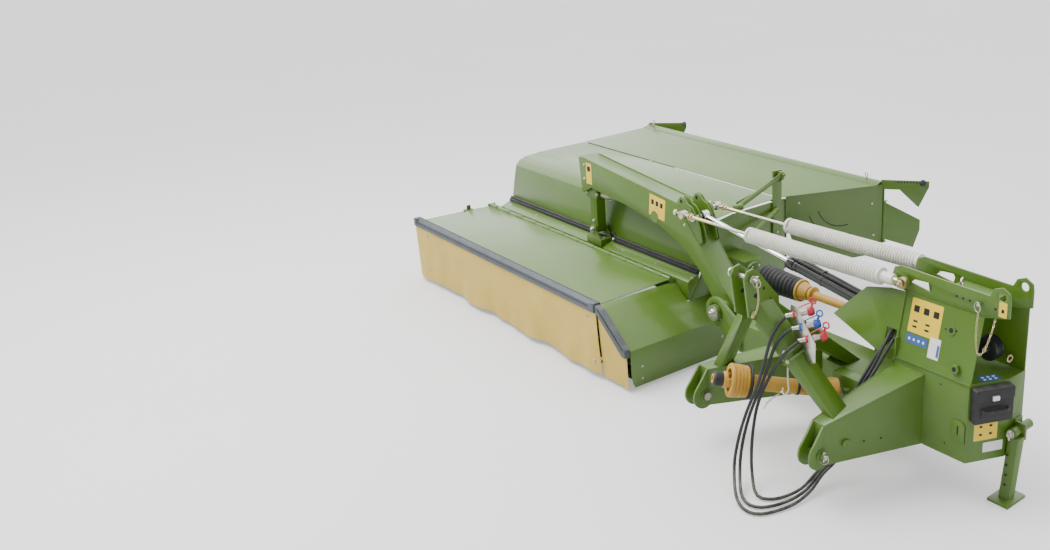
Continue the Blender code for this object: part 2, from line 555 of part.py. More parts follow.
shelf = prism([(0.500, BODY_Y0 + 0.002), (0.958, BODY_Y0 + 0.002), (1.048, 0.662), (1.048, BODY_Y1 - 0.002),
               (0.500, BODY_Y1 - 0.002)], "z", 0.648, 0.656)
anchor = [block(0.504, 0.660, CYL_Y - 0.046, CYL_Y - 0.036, CYL_Z - 0.045, CYL_Z + 0.035),
          block(0.504, 0.660, CYL_Y + 0.036, CYL_Y + 0.046, CYL_Z - 0.045, CYL_Z + 0.035)]
anchor.append(rod((CYL_X, CYL_Y - 0.060, CYL_Z), (CYL_X, CYL_Y + 0.060, CYL_Z), 0.0150, 24))
stand_mount = [block(1.048, 1.062, 0.728, 0.790, 0.330, 0.420),
               block(1.056, 1.120, 0.7243, 0.7400, 0.330, 0.412),
               rod((STAND_X, 0.6560, STAND_Z), (STAND_X, 0.7900, STAND_Z), 0.0140, 20)]
node("drive_body", "green",
     [front_wall, wing_plate, side_wall, back_wall, inner_wall, shelf, hose_stop] + anchor + stand_mount,
     cuts=[hose_cut, barrel_cut])

# twin rail on top of the body carries the relief springs
rail = [(0.415, 1.096), (0.455, 1.112), (0.985, 1.100), (1.005, 1.140), (1.050, 1.158), (1.092, 1.135), (1.098, 1.098),
        (1.098, 1.016), (0.970, 0.9853), (0.490, 0.9853), (0.415, 0.994), (0.398, 1.040)]
eye_cut = rod((1.050, 0.4, 1.112), (1.050, 0.9, 1.112), 0.022, 24)
slot_cut = prism([(0.520, 1.040), (0.545, 1.062), (0.640, 1.068), (0.655, 1.045), (0.640, 1.022)], "y", 0.4, 0.9)
web = block(0.700, 0.960, 0.5515, BODY_Y1 - T - GAP, 1.030, 1.050)
spring_pins = []
for y0, y1, z in ((SPRING_F_Y - 0.024, 0.5500, ANCHOR_F_Z), (0.7400, SPRING_R_Y + 0.024, ANCHOR_F_Z + 0.012)):
    spring_pins.append(rod((ANCHOR_X, y0, z), (ANCHOR_X, y1, z), 0.0130, 24))
node("spring_rail", "green",
     [prism(rail, "y", 0.5437, 0.5537), prism(rail, "y", 0.7360, 0.7460), web] + spring_pins,
     cuts=[eye_cut, slot_cut])

# three-point mast: two top-link plates on slanted legs
mast = [(-0.160, 1.105), (-0.140, 1.142), (-0.100, 1.150), (-0.060, 1.120), (0.075, 0.960), (0.085, 0.860),
        (-0.030, 0.835), (-0.130, 0.900)]
top_hole = rod((-0.2, TOP_Y, TOP_Z), (0.2, TOP_Y, TOP_Z), 0.0130, 24)
mast_parts = [prism(mast, "x", -0.054, -0.042), prism(mast, "x", 0.042, 0.054)]
for x_top, x_low, x_end, z_front, z_rear in ((0.050, 0.420, 0.482, 0.4524, 0.4904),
                                             (-0.050, -0.345, -0.407, 0.4398, 0.4541)):
    hi = [(x_top, -0.085, 0.845), (x_top, 0.005, 0.845), (x_top, 0.030, 0.965), (x_top, -0.060, 0.965)]
    lo = [(x_low, 0.030, z_front), (x_low, 0.125, z_rear), (x_end, 0.125, z_rear), (x_end, 0.030, z_front)]
    mast_parts.append(hexa(hi, lo))
brace_hi = [(-0.046, 0.010, 0.850), (0.046, 0.010, 0.850), (0.046, 0.060, 0.940), (-0.046, 0.060, 0.940)]
brace_lo = [(-0.020, 0.545, 0.4523), (0.125, 0.545, 0.4523), (0.125, 0.640, 0.4523), (-0.020, 0.640, 0.4523)]
mast_parts.append(hexa(brace_hi, brace_lo))
node("mast", "green", mast_parts, cuts=[top_hole])

# input gearbox before the beam and transfer case behind it
pto_a = Vector((-0.146, -0.200, 0.525))
pto_b = Vector((0.232, 0.4197, 0.372))
pd = (pto_b - pto_a).normalized()
node("input_gearbox", "green",
     [block(0.120, 0.330, 0.420, 0.4997, 0.285, 0.455), rod(pto_b - pd * 0.0300, pto_b + pd * 0.040, 0.020, 20)])
node("transfer_case", "green",
     [block(0.080, 0.498, 0.8103, 1.030, 0.330, 0.690),
      rod((0.085, SHAFT_Y, SHAFT_Z), (0.030, SHAFT_Y, SHAFT_Z), 0.070, 28),
      block(0.120, 0.480, 0.7903, 0.8200, 0.300, 0.440)])

# stand leg on a cross tube beside the body
STAND = (STAND_X, STAND_Y, STAND_Z)
leg = hexa([(1.040, 0.655, 0.012), (1.100, 0.655, 0.012), (1.100, 0.705, 0.012), (1.040, 0.705, 0.012)],
           [(STAND_X - 0.014, 0.665, 0.350), (STAND_X + 0.040, 0.665, 0.350), (STAND_X + 0.040, 0.724, 0.350),
            (STAND_X - 0.014, 0.724, 0.350)])
node("stand_leg", "green",
     [leg, block(1.010, 1.130, 0.600, 0.760, 0.0, 0.014),
      rod((STAND_X, 0.666, STAND_Z), (STAND_X, 0.724, STAND_Z), 0.026, 24)],
     cuts=[rod((STAND_X, 0.60, STAND_Z), (STAND_X, 0.80, STAND_Z), 0.0145, 24)], origin=STAND)


# ---------------------------------------------------------------- cylinder and relief springs
cyl_a, cyl_b = Vector((CYL_X, CYL_Y, CYL_Z)), Vector((CYL_EYE_X, CYL_Y, CYL_EYE_Z))
way = (cyl_b - cyl_a).normalized()
node("cylinder_barrel", "black",
     [rod(cyl_a + way * 0.030, cyl_a + way * BARREL, 0.034, 28),
      rod(cyl_a - Vector((0, 0.026, 0)), cyl_a + Vector((0, 0.026, 0)), 0.038, 24)],
     cuts=[rod(cyl_a + way * 0.060, cyl_a + way * 1.20, 0.0165, 28),
           rod(cyl_a - Vector((0, 0.1, 0)), cyl_a + Vector((0, 0.1, 0)), 0.0156, 24)],
     origin=cyl_a)
node("cylinder_rod", "chrome",
     [rod(cyl_a + way * 0.90, cyl_b - way * 0.020, 0.0162, 28),
      rod(cyl_b - Vector((0, 0.022, 0)), cyl_b + Vector((0, 0.022, 0)), 0.034, 24)],
     origin=cyl_b)

for tag, y, start, stop in (("front", SPRING_F_Y, 0.140, 1.130), ("rear", SPRING_R_Y, 0.110, 1.090)):
    z_a = ANCHOR_F_Z if tag == "front" else ANCHOR_F_Z + 0.012
    a = Vector((ANCHOR_X, y, z_a))
    e = Vector((EAR_X, y, EAR_Z))
    d = (e - a).normalized()
    sleeve = rod(a + d * start, a + d * stop, 0.047, 32, None, 0.030)
    plug = rod(a + d * 0.040, a + d * (start + 0.012), 0.031, 24)
    eye = rod(a - Vector((0, 0.016, 0)), a + Vector((0, 0.016, 0)), 0.030, 24)
    neck = rod(a + d * 0.006, a + d * 0.060, 0.017, 16)
    node("spring_" + tag, "white", [sleeve, plug, neck, eye],
         cuts=[rod(a - Vector((0, 0.1, 0)), a + Vector((0, 0.1, 0)), 0.0136, 24)], origin=a)
    reach = BOOM_Y0 + 0.004 - GAP if tag == "front" else BOOM_Y1 - 0.004 + GAP
    node("spring_rod_" + tag, "zinc",
         [rod(a + d * (stop - 0.100), e + d * 0.085, 0.0095, 16),
          rod(e + d * 0.055, e + d * 0.078, 0.019, 6),
          rod(e - Vector((0, 0.020, 0)), e + Vector((0, 0.020, 0)), 0.026, 24),
          rod(e, (e.x, reach, e.z), 0.0165, 20)], origin=e)

# ---------------------------------------------------------------- drive shafts
node("pto_guard", "yellow",
     [rod(pto_a + pd * 0.085, pto_a + pd * 0.190, 0.088, 32, 0.078, 0.060),
      rod(pto_a + pd * 0.175, pto_a + pd * 0.215, 0.070, 32, 0.050),
      rod(pto_a + pd * 0.200, pto_b - pd * 0.100, 0.040, 28),
      rod(pto_b - pd * 0.150, pto_b - pd * 0.072, 0.050, 28, 0.070)],
     cuts=[rod(pto_a + pd * 0.150, pto_b, 0.0206, 28)])
node("pto_yoke", "yellow",
     [rod(pto_a, pto_a + pd * 0.062, 0.030, 24),
      rod(pto_a + pd * 0.050, pto_a + pd * 0.130, 0.044, 24),
      rod(pto_a + pd * 0.110, pto_b - pd * 0.0305, 0.0200, 20)], origin=pto_a)
shaft_x1 = 0.0297
node("shaft_inner", "yellow",
     [rod((shaft_x1, SHAFT_Y, SHAFT_Z), (-0.700, SHAFT_Y, SHAFT_Z), 0.026, 24),
      rod((shaft_x1, SHAFT_Y, SHAFT_Z), (-0.080, SHAFT_Y, SHAFT_Z), 0.064, 28, 0.044)])
node("shaft_outer", "yellow",
     [rod((-0.970, SHAFT_Y, SHAFT_Z), (-0.520, SHAFT_Y, SHAFT_Z), 0.036, 24, None, 0.0268),
      rod((-0.640, SHAFT_Y, SHAFT_Z), (-0.560, SHAFT_Y, SHAFT_Z), 0.066, 28, 0.044, 0.0268)],
     origin=(-1.0, SHAFT_Y, SHAFT_Z))
node("shaft_bellows", "rubber",
     [rod((-0.970, SHAFT_Y, SHAFT_Z), (-0.6403, SHAFT_Y, SHAFT_Z), 0.086, 28, 0.074, 0.0363)],
     origin=(-1.0, SHAFT_Y, SHAFT_Z))

# ---------------------------------------------------------------- hydraulic hoses

def smooth(knots, step):
    """Points every step metres along a curve through the knots."""
    pts = [Vector(k) for k in knots]
    pts = [pts[0] * 2 - pts[1]] + pts + [pts[-1] * 2 - pts[-2]]
    fine = []
    for i in range(1, len(pts) - 2):
        p0, p1, p2, p3 = pts[i - 1], pts[i], pts[i + 1], pts[i + 2]
        for k in range(24):
            t = k / 24
            fine.append(0.5 * ((2 * p1) + (p2 - p0) * t + (2 * p0 - 5 * p1 + 4 * p2 - p3) * t * t
                               + (3 * p1 - p0 - 3 * p2 + p3) * t ** 3))
    fine.append(pts[-2])
    out = [fine[0]]
    run = 0.0
    for a, b in zip(fine, fine[1:]):
        run += (b - a).length
        if run >= step:
            out.append(b)
            run = 0.0
    if (out[-1] - fine[-1]).length > step * 0.4:
        out.append(fine[-1])
    else:
        out[-1] = fine[-1]
    return out


HOSE_R = 0.0085
plug_way = Vector((0.62, 0.72, 0.18)).normalized()
ROUTES = (
    ((0.189, 0.030, 0.911), (0.154, -0.030, 0.862), (0.160, -0.085, 0.804), (0.140, -0.120, 0.653),
     (0.114, -0.140, 0.537), (0.065, -0.160, 0.400), (0.036, -0.190, 0.247), (0.030, -0.215, 0.090),
     (0.190, -0.335, 0.022), (0.322, -0.330, 0.0125), (0.385, -0.170, 0.0125), (0.385, -0.030, 0.030),
     (0.379, 0.080, 0.090), (0.399, 0.170, 0.156), (0.419, 0.235, 0.330), (0.439, 0.300, 0.500),
     (0.454, 0.380, 0.600), (0.473, 0.440, 0.694), (0.472, 0.5197, 0.745)),
    ((0.234, 0.030, 0.857), (0.195, -0.020, 0.830), (0.179, -0.070, 0.777), (0.151, -0.098, 0.651),
     (0.119, -0.118, 0.531), (0.071, -0.138, 0.394), (0.046, -0.166, 0.240), (0.046, -0.190, 0.090),
     (0.180, -0.295, 0.022), (0.286, -0.285, 0.0125), (0.345, -0.160, 0.0125), (0.360, -0.030, 0.030),
     (0.357, 0.080, 0.085), (0.377, 0.170, 0.150), (0.397, 0.235, 0.325), (0.417, 0.300, 0.495),
     (0.432, 0.380, 0.602), (0.452, 0.440, 0.716), (0.445, 0.5197, 0.766)),
    ((0.279, 0.030, 0.807), (0.256, -0.060, 0.772), (0.190, -0.078, 0.668), (0.121, -0.088, 0.537),
     (0.085, -0.104, 0.422), (0.075, -0.120, 0.314), (0.082, -0.142, 0.190), (0.110, -0.165, 0.075),
     (0.205, -0.225, 0.022), (0.270, -0.200, 0.0125), (0.310, -0.120, 0.0125), (0.332, -0.020, 0.030),
     (0.335, 0.080, 0.080), (0.355, 0.170, 0.144), (0.375, 0.235, 0.320), (0.395, 0.300, 0.490),
     (0.408, 0.380, 0.594), (0.435, 0.440, 0.690), (0.443, 0.5197, 0.728)),
)
foot = [(0.2012, 0.8045), (0.2750, 0.7205), (0.3092, 0.6825), (0.345, 0.700), (0.345, 0.800), (0.260, 0.900), (0.215, 0.960),
        (0.175, 0.960), (0.165, 0.900), (0.190, 0.850)]
couplers = [prism(foot, "y", 0.040, 0.044)]
for i, route in enumerate(ROUTES):
    tip, end = Vector(route[0]), Vector(route[-1])
    lead, tail = tip - plug_way * 0.022, end - Vector((0, 0.022, 0))
    path = [tip] + smooth([lead] + list(route[1:-1]) + [tail], 0.030) + [end]
    node("hose_%d" % (i + 1), "rubber", [wire(path, HOSE_R, 2)])
    print("hose", i + 1, round(sum((b - a).length for a, b in zip(path, path[1:])), 3))
    couplers.append(rod(tip + plug_way * GAP, tip + plug_way * 0.100, 0.013, 16))
node("coupler_holder", "zinc", couplers)

# ---------------------------------------------------------------- report of the footprint
low_pt = Vector((1e9, 1e9, 1e9))
high_pt = Vector((-1e9, -1e9, -1e9))
for ob in machine.objects:
    if ob.name.startswith("hose_") and ob.name[5:].isdigit():
        continue
    for v in ob.data.vertices:
        w = ob.location + v.co
        for k in range(3):
            low_pt[k] = min(low_pt[k], w[k])
            high_pt[k] = max(high_pt[k], w[k])
print("low", tuple(round(c, 4) for c in low_pt), "high", tuple(round(c, 4) for c in high_pt))
print("nodes", len(machine.objects))
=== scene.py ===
import json
import math
import bpy
from mathutils import Matrix, Vector

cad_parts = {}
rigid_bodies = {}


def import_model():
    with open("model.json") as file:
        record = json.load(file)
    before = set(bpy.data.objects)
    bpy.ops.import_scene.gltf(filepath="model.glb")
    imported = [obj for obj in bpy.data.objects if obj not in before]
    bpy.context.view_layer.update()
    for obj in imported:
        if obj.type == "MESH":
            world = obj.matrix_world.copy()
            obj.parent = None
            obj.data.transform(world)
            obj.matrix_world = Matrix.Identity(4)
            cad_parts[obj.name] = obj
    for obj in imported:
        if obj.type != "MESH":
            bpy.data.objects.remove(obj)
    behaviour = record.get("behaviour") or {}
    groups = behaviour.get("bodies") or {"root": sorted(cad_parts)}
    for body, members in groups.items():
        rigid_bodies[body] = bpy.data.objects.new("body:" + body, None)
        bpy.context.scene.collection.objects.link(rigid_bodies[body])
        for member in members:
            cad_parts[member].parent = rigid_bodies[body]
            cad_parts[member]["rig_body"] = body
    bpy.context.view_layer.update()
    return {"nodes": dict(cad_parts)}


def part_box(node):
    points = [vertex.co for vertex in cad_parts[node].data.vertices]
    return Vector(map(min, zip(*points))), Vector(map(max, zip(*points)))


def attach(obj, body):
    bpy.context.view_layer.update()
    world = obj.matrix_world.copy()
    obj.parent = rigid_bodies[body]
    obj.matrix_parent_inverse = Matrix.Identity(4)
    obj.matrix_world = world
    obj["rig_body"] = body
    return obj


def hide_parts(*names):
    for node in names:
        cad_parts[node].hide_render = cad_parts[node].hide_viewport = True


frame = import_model()
print("frame loaded")

# everything below is written in machine coordinates: x 0 on the tractor centre line,
# y 0 on the front edge of the flap, z 0 on the ground
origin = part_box("stand_leg")[0] - Vector((1.010, 0.600, 0.0))


def at(x, y, z):
    return origin + Vector((x, y, z))


camera = {
    "place": (3.410, -3.233, 2.833),
    "azimuth": 46.57,
    "elevation": 16.19,
    "lens": 34.23,
    "shift": (-0.2238, -0.0714),
}
bpy.ops.object.camera_add()
cameraObject = bpy.context.object
cameraObject.location = at(*camera["place"])
turn, lift = math.radians(camera["azimuth"]), math.radians(camera["elevation"])
lookBack = Vector((math.sin(turn) * math.cos(lift), -math.cos(turn) * math.cos(lift), math.sin(lift)))
cameraObject.rotation_euler = (-lookBack).to_track_quat("-Z", "Y").to_euler()
cameraObject.data.sensor_width = 36
cameraObject.data.lens = camera["lens"]
cameraObject.data.shift_x, cameraObject.data.shift_y = camera["shift"]
cameraObject.data.clip_end = 200
bpy.context.scene.camera = cameraObject

# studio: a soft bright sky behind and above, dimmer behind the camera, one big key lamp and a weak fill
studio = {
    "sky": (0.97, 0.985, 1.0, 1), "skyWay": (-0.62, 0.60, 0.50), "skyLow": 0.34, "skyHigh": 2.35,
    "keyPlace": (-3.4, -2.2, 6.6), "keySize": 5.0, "keyPower": 660,
    "fillPlace": (5.0, -3.0, 3.0), "fillSize": 4.0, "fillPower": 60,
    "floor": (0.66, 0.66, 0.65, 1), "floorGlow": 0.42,
}
world = bpy.data.worlds.new("studio")
bpy.context.scene.world = world
world.use_nodes = True
world.node_tree.nodes["Background"].inputs["Color"].default_value = studio["sky"]
skyPlace = world.node_tree.nodes.new("ShaderNodeTexCoord")
skyDot = world.node_tree.nodes.new("ShaderNodeVectorMath")
skyDot.operation = "DOT_PRODUCT"
skyDot.inputs[1].default_value = studio["skyWay"]
skyRange = world.node_tree.nodes.new("ShaderNodeMapRange")
skyRange.interpolation_type = "SMOOTHSTEP"
for label, value in (("From Min", -0.45), ("From Max", 0.75), ("To Min", studio["skyLow"]),
                     ("To Max", studio["skyHigh"])):
    skyRange.inputs[label].default_value = value
world.node_tree.links.new(skyPlace.outputs["Generated"], skyDot.inputs[0])
world.node_tree.links.new(skyDot.outputs["Value"], skyRange.inputs["Value"])
world.node_tree.links.new(skyRange.outputs["Result"], world.node_tree.nodes["Background"].inputs["Strength"])
for label in ("key", "fill"):
    bpy.ops.object.light_add(type="AREA", location=at(*studio[label + "Place"]))
    lamp = bpy.context.object
    lamp.name = label + "Light"
    lamp.data.size = studio[label + "Size"]
    lamp.data.energy = studio[label + "Power"]
    lamp.rotation_euler = (at(-1.4, 0.9, 0.4) - lamp.location).to_track_quat("-Z", "Y").to_euler()
print("camera and lights placed")


def clear():
    if bpy.context.mode != "OBJECT":
        bpy.ops.object.mode_set(mode="OBJECT")
    bpy.ops.object.select_all(action="DESELECT")


def pick(obj):
    clear()
    obj.select_set(True)
    bpy.context.view_layer.objects.active = obj
    return obj


def editAll(obj):
    pick(obj)
    bpy.ops.object.mode_set(mode="EDIT")
    bpy.ops.mesh.select_all(action="SELECT")


def applied(obj):
    pick(obj)
    for modifier in list(obj.modifiers):
        bpy.ops.object.modifier_apply(modifier=modifier.name)
    bpy.ops.object.transform_apply(location=True, rotation=True, scale=True)
    return obj


def joined(parts):
    clear()
    for part in parts:
        part.select_set(True)
    bpy.context.view_layer.objects.active = parts[0]
    if len(parts) > 1:
        bpy.ops.object.join()
    return bpy.context.view_layer.objects.active


def copied(obj, matrix):
    twin = obj.copy()
    twin.data = obj.data.copy()
    bpy.context.scene.collection.objects.link(twin)
    twin.matrix_world = matrix
    return applied(twin)


def aimed(place, direction):
    # local z turned to direction, zero at place
    return Matrix.Translation(Vector(place)) @ Vector(direction).to_track_quat("Z", "Y").to_matrix().to_4x4()


def flat(place, ahead, up):
    # local x along ahead, local y along up
    first = Vector(ahead).normalized()
    normal = first.cross(Vector(up)).normalized()
    turned = Matrix((first, normal.cross(first), normal)).transposed().to_4x4()
    return Matrix.Translation(Vector(place)) @ turned


def lathe(profile, start, end, steps=28):
    # closed profile of (radius, distance from start) turned about the line start to end
    clear()
    bpy.ops.mesh.primitive_circle_add(vertices=len(profile), radius=1)
    obj = bpy.context.object
    for vertex, (radius, along) in zip(obj.data.vertices, profile):
        vertex.co = (radius, 0, along)
    screw = obj.modifiers.new("turn", "SCREW")
    screw.steps = screw.render_steps = steps
    screw.use_merge_vertices = True
    screw.merge_threshold = 0.00005
    bpy.ops.object.modifier_apply(modifier="turn")
    obj.matrix_world = aimed(start, Vector(end) - Vector(start))
    return applied(obj)


def pin(start, end, radius, steps=20, chamfer=0.0015):
    length = (Vector(end) - Vector(start)).length
    cut = min(chamfer, radius / 3, length / 3)
    return lathe([(0, 0), (radius - cut, 0), (radius, cut), (radius, length - cut), (radius - cut, length),
                  (0, length)], start, end, steps)


def plate(outline, thick, matrix, edge=0.001):
    # flat outline in local x and y, thickened both ways and its edges broken
    clear()
    bpy.ops.mesh.primitive_circle_add(vertices=len(outline), radius=1, fill_type="NGON")
    obj = bpy.context.object
    for vertex, (across, above) in zip(obj.data.vertices, outline):
        vertex.co = (across, above, 0)
    solid = obj.modifiers.new("thick", "SOLIDIFY")
    solid.thickness = thick
    solid.offset = 0
    if edge:
        bevel = obj.modifiers.new("edge", "BEVEL")
        bevel.width = edge
        bevel.segments = 2
        bevel.limit_method = "ANGLE"
    obj.matrix_world = matrix
    return applied(obj)


def rounded(width, height, radius, steps=4):
    points = []
    for cx, cy, first in ((width / 2 - radius, height / 2 - radius, 0),
                          (radius - width / 2, height / 2 - radius, 90),
                          (radius - width / 2, radius - height / 2, 180),
                          (width / 2 - radius, radius - height / 2, 270)):
        for k in range(steps + 1):
            angle = math.radians(first + 90 * k / steps)
            points.append((cx + radius * math.cos(angle), cy + radius * math.sin(angle)))
    return points


def block(low, high, edge=0.002):
    clear()
    low, high = Vector(low), Vector(high)
    bpy.ops.mesh.primitive_cube_add(size=1, location=(low + high) / 2)
    obj = bpy.context.object
    obj.scale = high - low
    bpy.ops.object.transform_apply(location=True, rotation=True, scale=True)
    editAll(obj)
    bpy.ops.mesh.bevel(offset=edge, segments=2, affect="EDGES")
    clear()
    return obj


def wire(points, radius, rings=3, closed=False):
    # round bar through the points
    data = bpy.data.curves.new("bar", "CURVE")
    data.dimensions = "3D"
    data.bevel_depth = radius
    data.bevel_resolution = rings
    data.use_fill_caps = True
    line = data.splines.new("POLY")
    line.points.add(len(points) - 1)
    for point, place in zip(line.points, points):
        point.co = (*place, 1)
    line.use_cyclic_u = closed
    obj = bpy.data.objects.new("bar", data)
    bpy.context.scene.collection.objects.link(obj)
    pick(obj)
    bpy.ops.object.convert(target="MESH")
    return bpy.context.object


def ring(place, direction, radius, bar, steps=20):
    clear()
    bpy.ops.mesh.primitive_torus_add(major_segments=steps, minor_segments=8, major_radius=radius,
                                     minor_radius=bar)
    obj = bpy.context.object
    obj.matrix_world = aimed(place, direction)
    return applied(obj)


def disc(place, direction, radius, thick, steps=14, start=0.0):
    # round slug: a plain boss, or a near-black disc that paints the shade at the bottom of a hole
    outline = [(0, start), (radius, start), (radius, thick), (0, thick)]
    return lathe(outline, place, Vector(place) + Vector(direction), steps)


def collar(place, direction, bore, radius, thick, steps=24):
    # round sleeve with a bore, its first face at the place
    outline = [(bore, 0), (radius, 0), (radius, thick), (bore, thick)]
    return lathe(outline, place, Vector(place) + Vector(direction), steps)


def straight(first, last, step, radius):
    # thin bead along a straight line in machine coordinates
    first, last = Vector(first), Vector(last)
    count = max(3, int((last - first).length / step))
    return wire([at(*(first + (last - first) * k / count)) for k in range(count + 1)], radius, 1)


def smoothLine(knots, step):
    # points every step metres on a curve through the knots
    points = [Vector(k) for k in knots]
    points = [points[0] * 2 - points[1]] + points + [points[-1] * 2 - points[-2]]
    fine = []
    for i in range(1, len(points) - 2):
        p0, p1, p2, p3 = points[i - 1], points[i], points[i + 1], points[i + 2]
        for k in range(24):
            t = k / 24
            fine.append(0.5 * ((2 * p1) + (p2 - p0) * t + (2 * p0 - 5 * p1 + 4 * p2 - p3) * t * t
                               + (3 * p1 - p0 - 3 * p2 + p3) * t ** 3))
    fine.append(points[-2])
    out, run = [fine[0]], 0.0
    for a, b in zip(fine, fine[1:]):
        run += (b - a).length
        if run >= step:
            out.append(b)
            run = 0.0
    if (out[-1] - fine[-1]).length > step * 0.4:
        out.append(fine[-1])
    else:
        out[-1] = fine[-1]
    return out


def nodeGroup(name, inputs, outputs):
    tree = bpy.data.node_groups.new(name, "ShaderNodeTree")
    for label, kind, value in inputs:
        socket = tree.interface.new_socket(name=label, in_out="INPUT", socket_type=kind)
        socket.default_value = value
    for label, kind in outputs:
        tree.interface.new_socket(name=label, in_out="OUTPUT", socket_type=kind)
    return tree, tree.nodes.new("NodeGroupInput"), tree.nodes.new("NodeGroupOutput")


def math2(tree, operation, first, second=0.5, third=None, clamp=False):
    node = tree.nodes.new("ShaderNodeMath")
    node.operation = operation
    node.use_clamp = clamp
    for socket, value in zip(node.inputs, (first, second, third)):
        if value is None:
            continue
        if isinstance(value, (int, float)):
            socket.default_value = value
        else:
            tree.links.new(value, socket)
    return node.outputs[0]


def noiseAt(tree, place, scale, detail=4.0, rough=0.55):
    node = tree.nodes.new("ShaderNodeTexNoise")
    node.inputs["Detail"].default_value = detail
    node.inputs["Roughness"].default_value = rough
    if isinstance(scale, (int, float)):
        node.inputs["Scale"].default_value = scale
    else:
        tree.links.new(scale, node.inputs["Scale"])
    tree.links.new(place, node.inputs["Vector"])
    return node.outputs["Fac"]


def between(tree, value, low, high):
    node = tree.nodes.new("ShaderNodeMapRange")
    node.interpolation_type = "SMOOTHSTEP"
    node.inputs["From Min"].default_value = low
    node.inputs["From Max"].default_value = high
    tree.links.new(value, node.inputs["Value"])
    return node.outputs["Result"]


# grain: fine surface relief and a slow change of tone
grainTree, grainIn, grainOut = nodeGroup(
    "surfaceGrain", [("Fine", "NodeSocketFloat", 900.0), ("Broad", "NodeSocketFloat", 3.0)],
    [("Height", "NodeSocketFloat"), ("Tone", "NodeSocketFloat")])
grainPlace = grainTree.nodes.new("ShaderNodeTexCoord").outputs["Object"]
grainTree.links.new(noiseAt(grainTree, grainPlace, grainIn.outputs["Fine"], 3.0), grainOut.inputs["Height"])
grainTree.links.new(between(grainTree, noiseAt(grainTree, grainPlace, grainIn.outputs["Broad"], 5.0, 0.6),
                            0.3, 0.7), grainOut.inputs["Tone"])

# dust: settles on what faces up, thicker near the ground, broken up by noise
dustTree, dustIn, dustOut = nodeGroup("fieldDust", [("Amount", "NodeSocketFloat", 0.3),
                                                    ("Reach", "NodeSocketFloat", 0.5)],
                                      [("Mask", "NodeSocketFloat")])
dustPlace = dustTree.nodes.new("ShaderNodeTexCoord").outputs["Object"]
dustSplit = dustTree.nodes.new("ShaderNodeSeparateXYZ")
dustTree.links.new(dustPlace, dustSplit.inputs[0])
dustFace = dustTree.nodes.new("ShaderNodeSeparateXYZ")
dustTree.links.new(dustTree.nodes.new("ShaderNodeNewGeometry").outputs["Normal"], dustFace.inputs[0])
dustUp = between(dustTree, dustFace.outputs["Z"], 0.2, 1.0)
dustNear = math2(dustTree, "DIVIDE", dustSplit.outputs["Z"], dustIn.outputs["Reach"])
dustNear = math2(dustTree, "SUBTRACT", 1.0, dustNear, clamp=True)
dustSum = math2(dustTree, "ADD", math2(dustTree, "MULTIPLY", dustUp, 0.55), dustNear)
dustNoise = between(dustTree, noiseAt(dustTree, dustPlace, 14.0, 8.0, 0.7), 0.35, 0.75)
dustMask = math2(dustTree, "MULTIPLY", dustSum, dustNoise)
dustTree.links.new(math2(dustTree, "MULTIPLY", dustMask, dustIn.outputs["Amount"], clamp=True),
                   dustOut.inputs["Mask"])

# wear: bare spots where the rounded normal leaves the face normal, on edges
wearTree, wearIn, wearOut = nodeGroup("edgeWear", [("Amount", "NodeSocketFloat", 0.5),
                                                   ("Scale", "NodeSocketFloat", 40.0)],
                                      [("Mask", "NodeSocketFloat")])
wearBevel = wearTree.nodes.new("ShaderNodeBevel")
wearBevel.samples = 4
wearBevel.inputs["Radius"].default_value = 0.004
wearDot = wearTree.nodes.new("ShaderNodeVectorMath")
wearDot.operation = "DOT_PRODUCT"
wearTree.links.new(wearBevel.outputs["Normal"], wearDot.inputs[0])
wearTree.links.new(wearTree.nodes.new("ShaderNodeNewGeometry").outputs["Normal"], wearDot.inputs[1])
wearEdge = between(wearTree, math2(wearTree, "SUBTRACT", 1.0, wearDot.outputs["Value"]), 0.03, 0.25)
wearPlace = wearTree.nodes.new("ShaderNodeTexCoord").outputs["Object"]
wearNoise = between(wearTree, noiseAt(wearTree, wearPlace, wearIn.outputs["Scale"], 6.0, 0.7), 0.48, 0.62)
wearTree.links.new(math2(wearTree, "MULTIPLY", math2(wearTree, "MULTIPLY", wearEdge, wearNoise),
                         wearIn.outputs["Amount"], clamp=True), wearOut.inputs["Mask"])

# weave: over and under threads of coated cloth
weaveTree, weaveIn, weaveOut = nodeGroup(
    "clothWeave", [("Threads", "NodeSocketFloat", 420.0)], [("Height", "NodeSocketFloat")])
weavePlace = weaveTree.nodes.new("ShaderNodeTexCoord").outputs["Object"]
weaveHeights = []
for axis in ("X", "Z"):
    band = weaveTree.nodes.new("ShaderNodeTexWave")
    band.bands_direction = axis
    band.inputs["Distortion"].default_value = 0.4
    weaveTree.links.new(weaveIn.outputs["Threads"], band.inputs["Scale"])
    weaveTree.links.new(weavePlace, band.inputs["Vector"])
    weaveHeights.append(band.outputs["Fac"])
weaveTree.links.new(math2(weaveTree, "MAXIMUM", *weaveHeights), weaveOut.inputs["Height"])


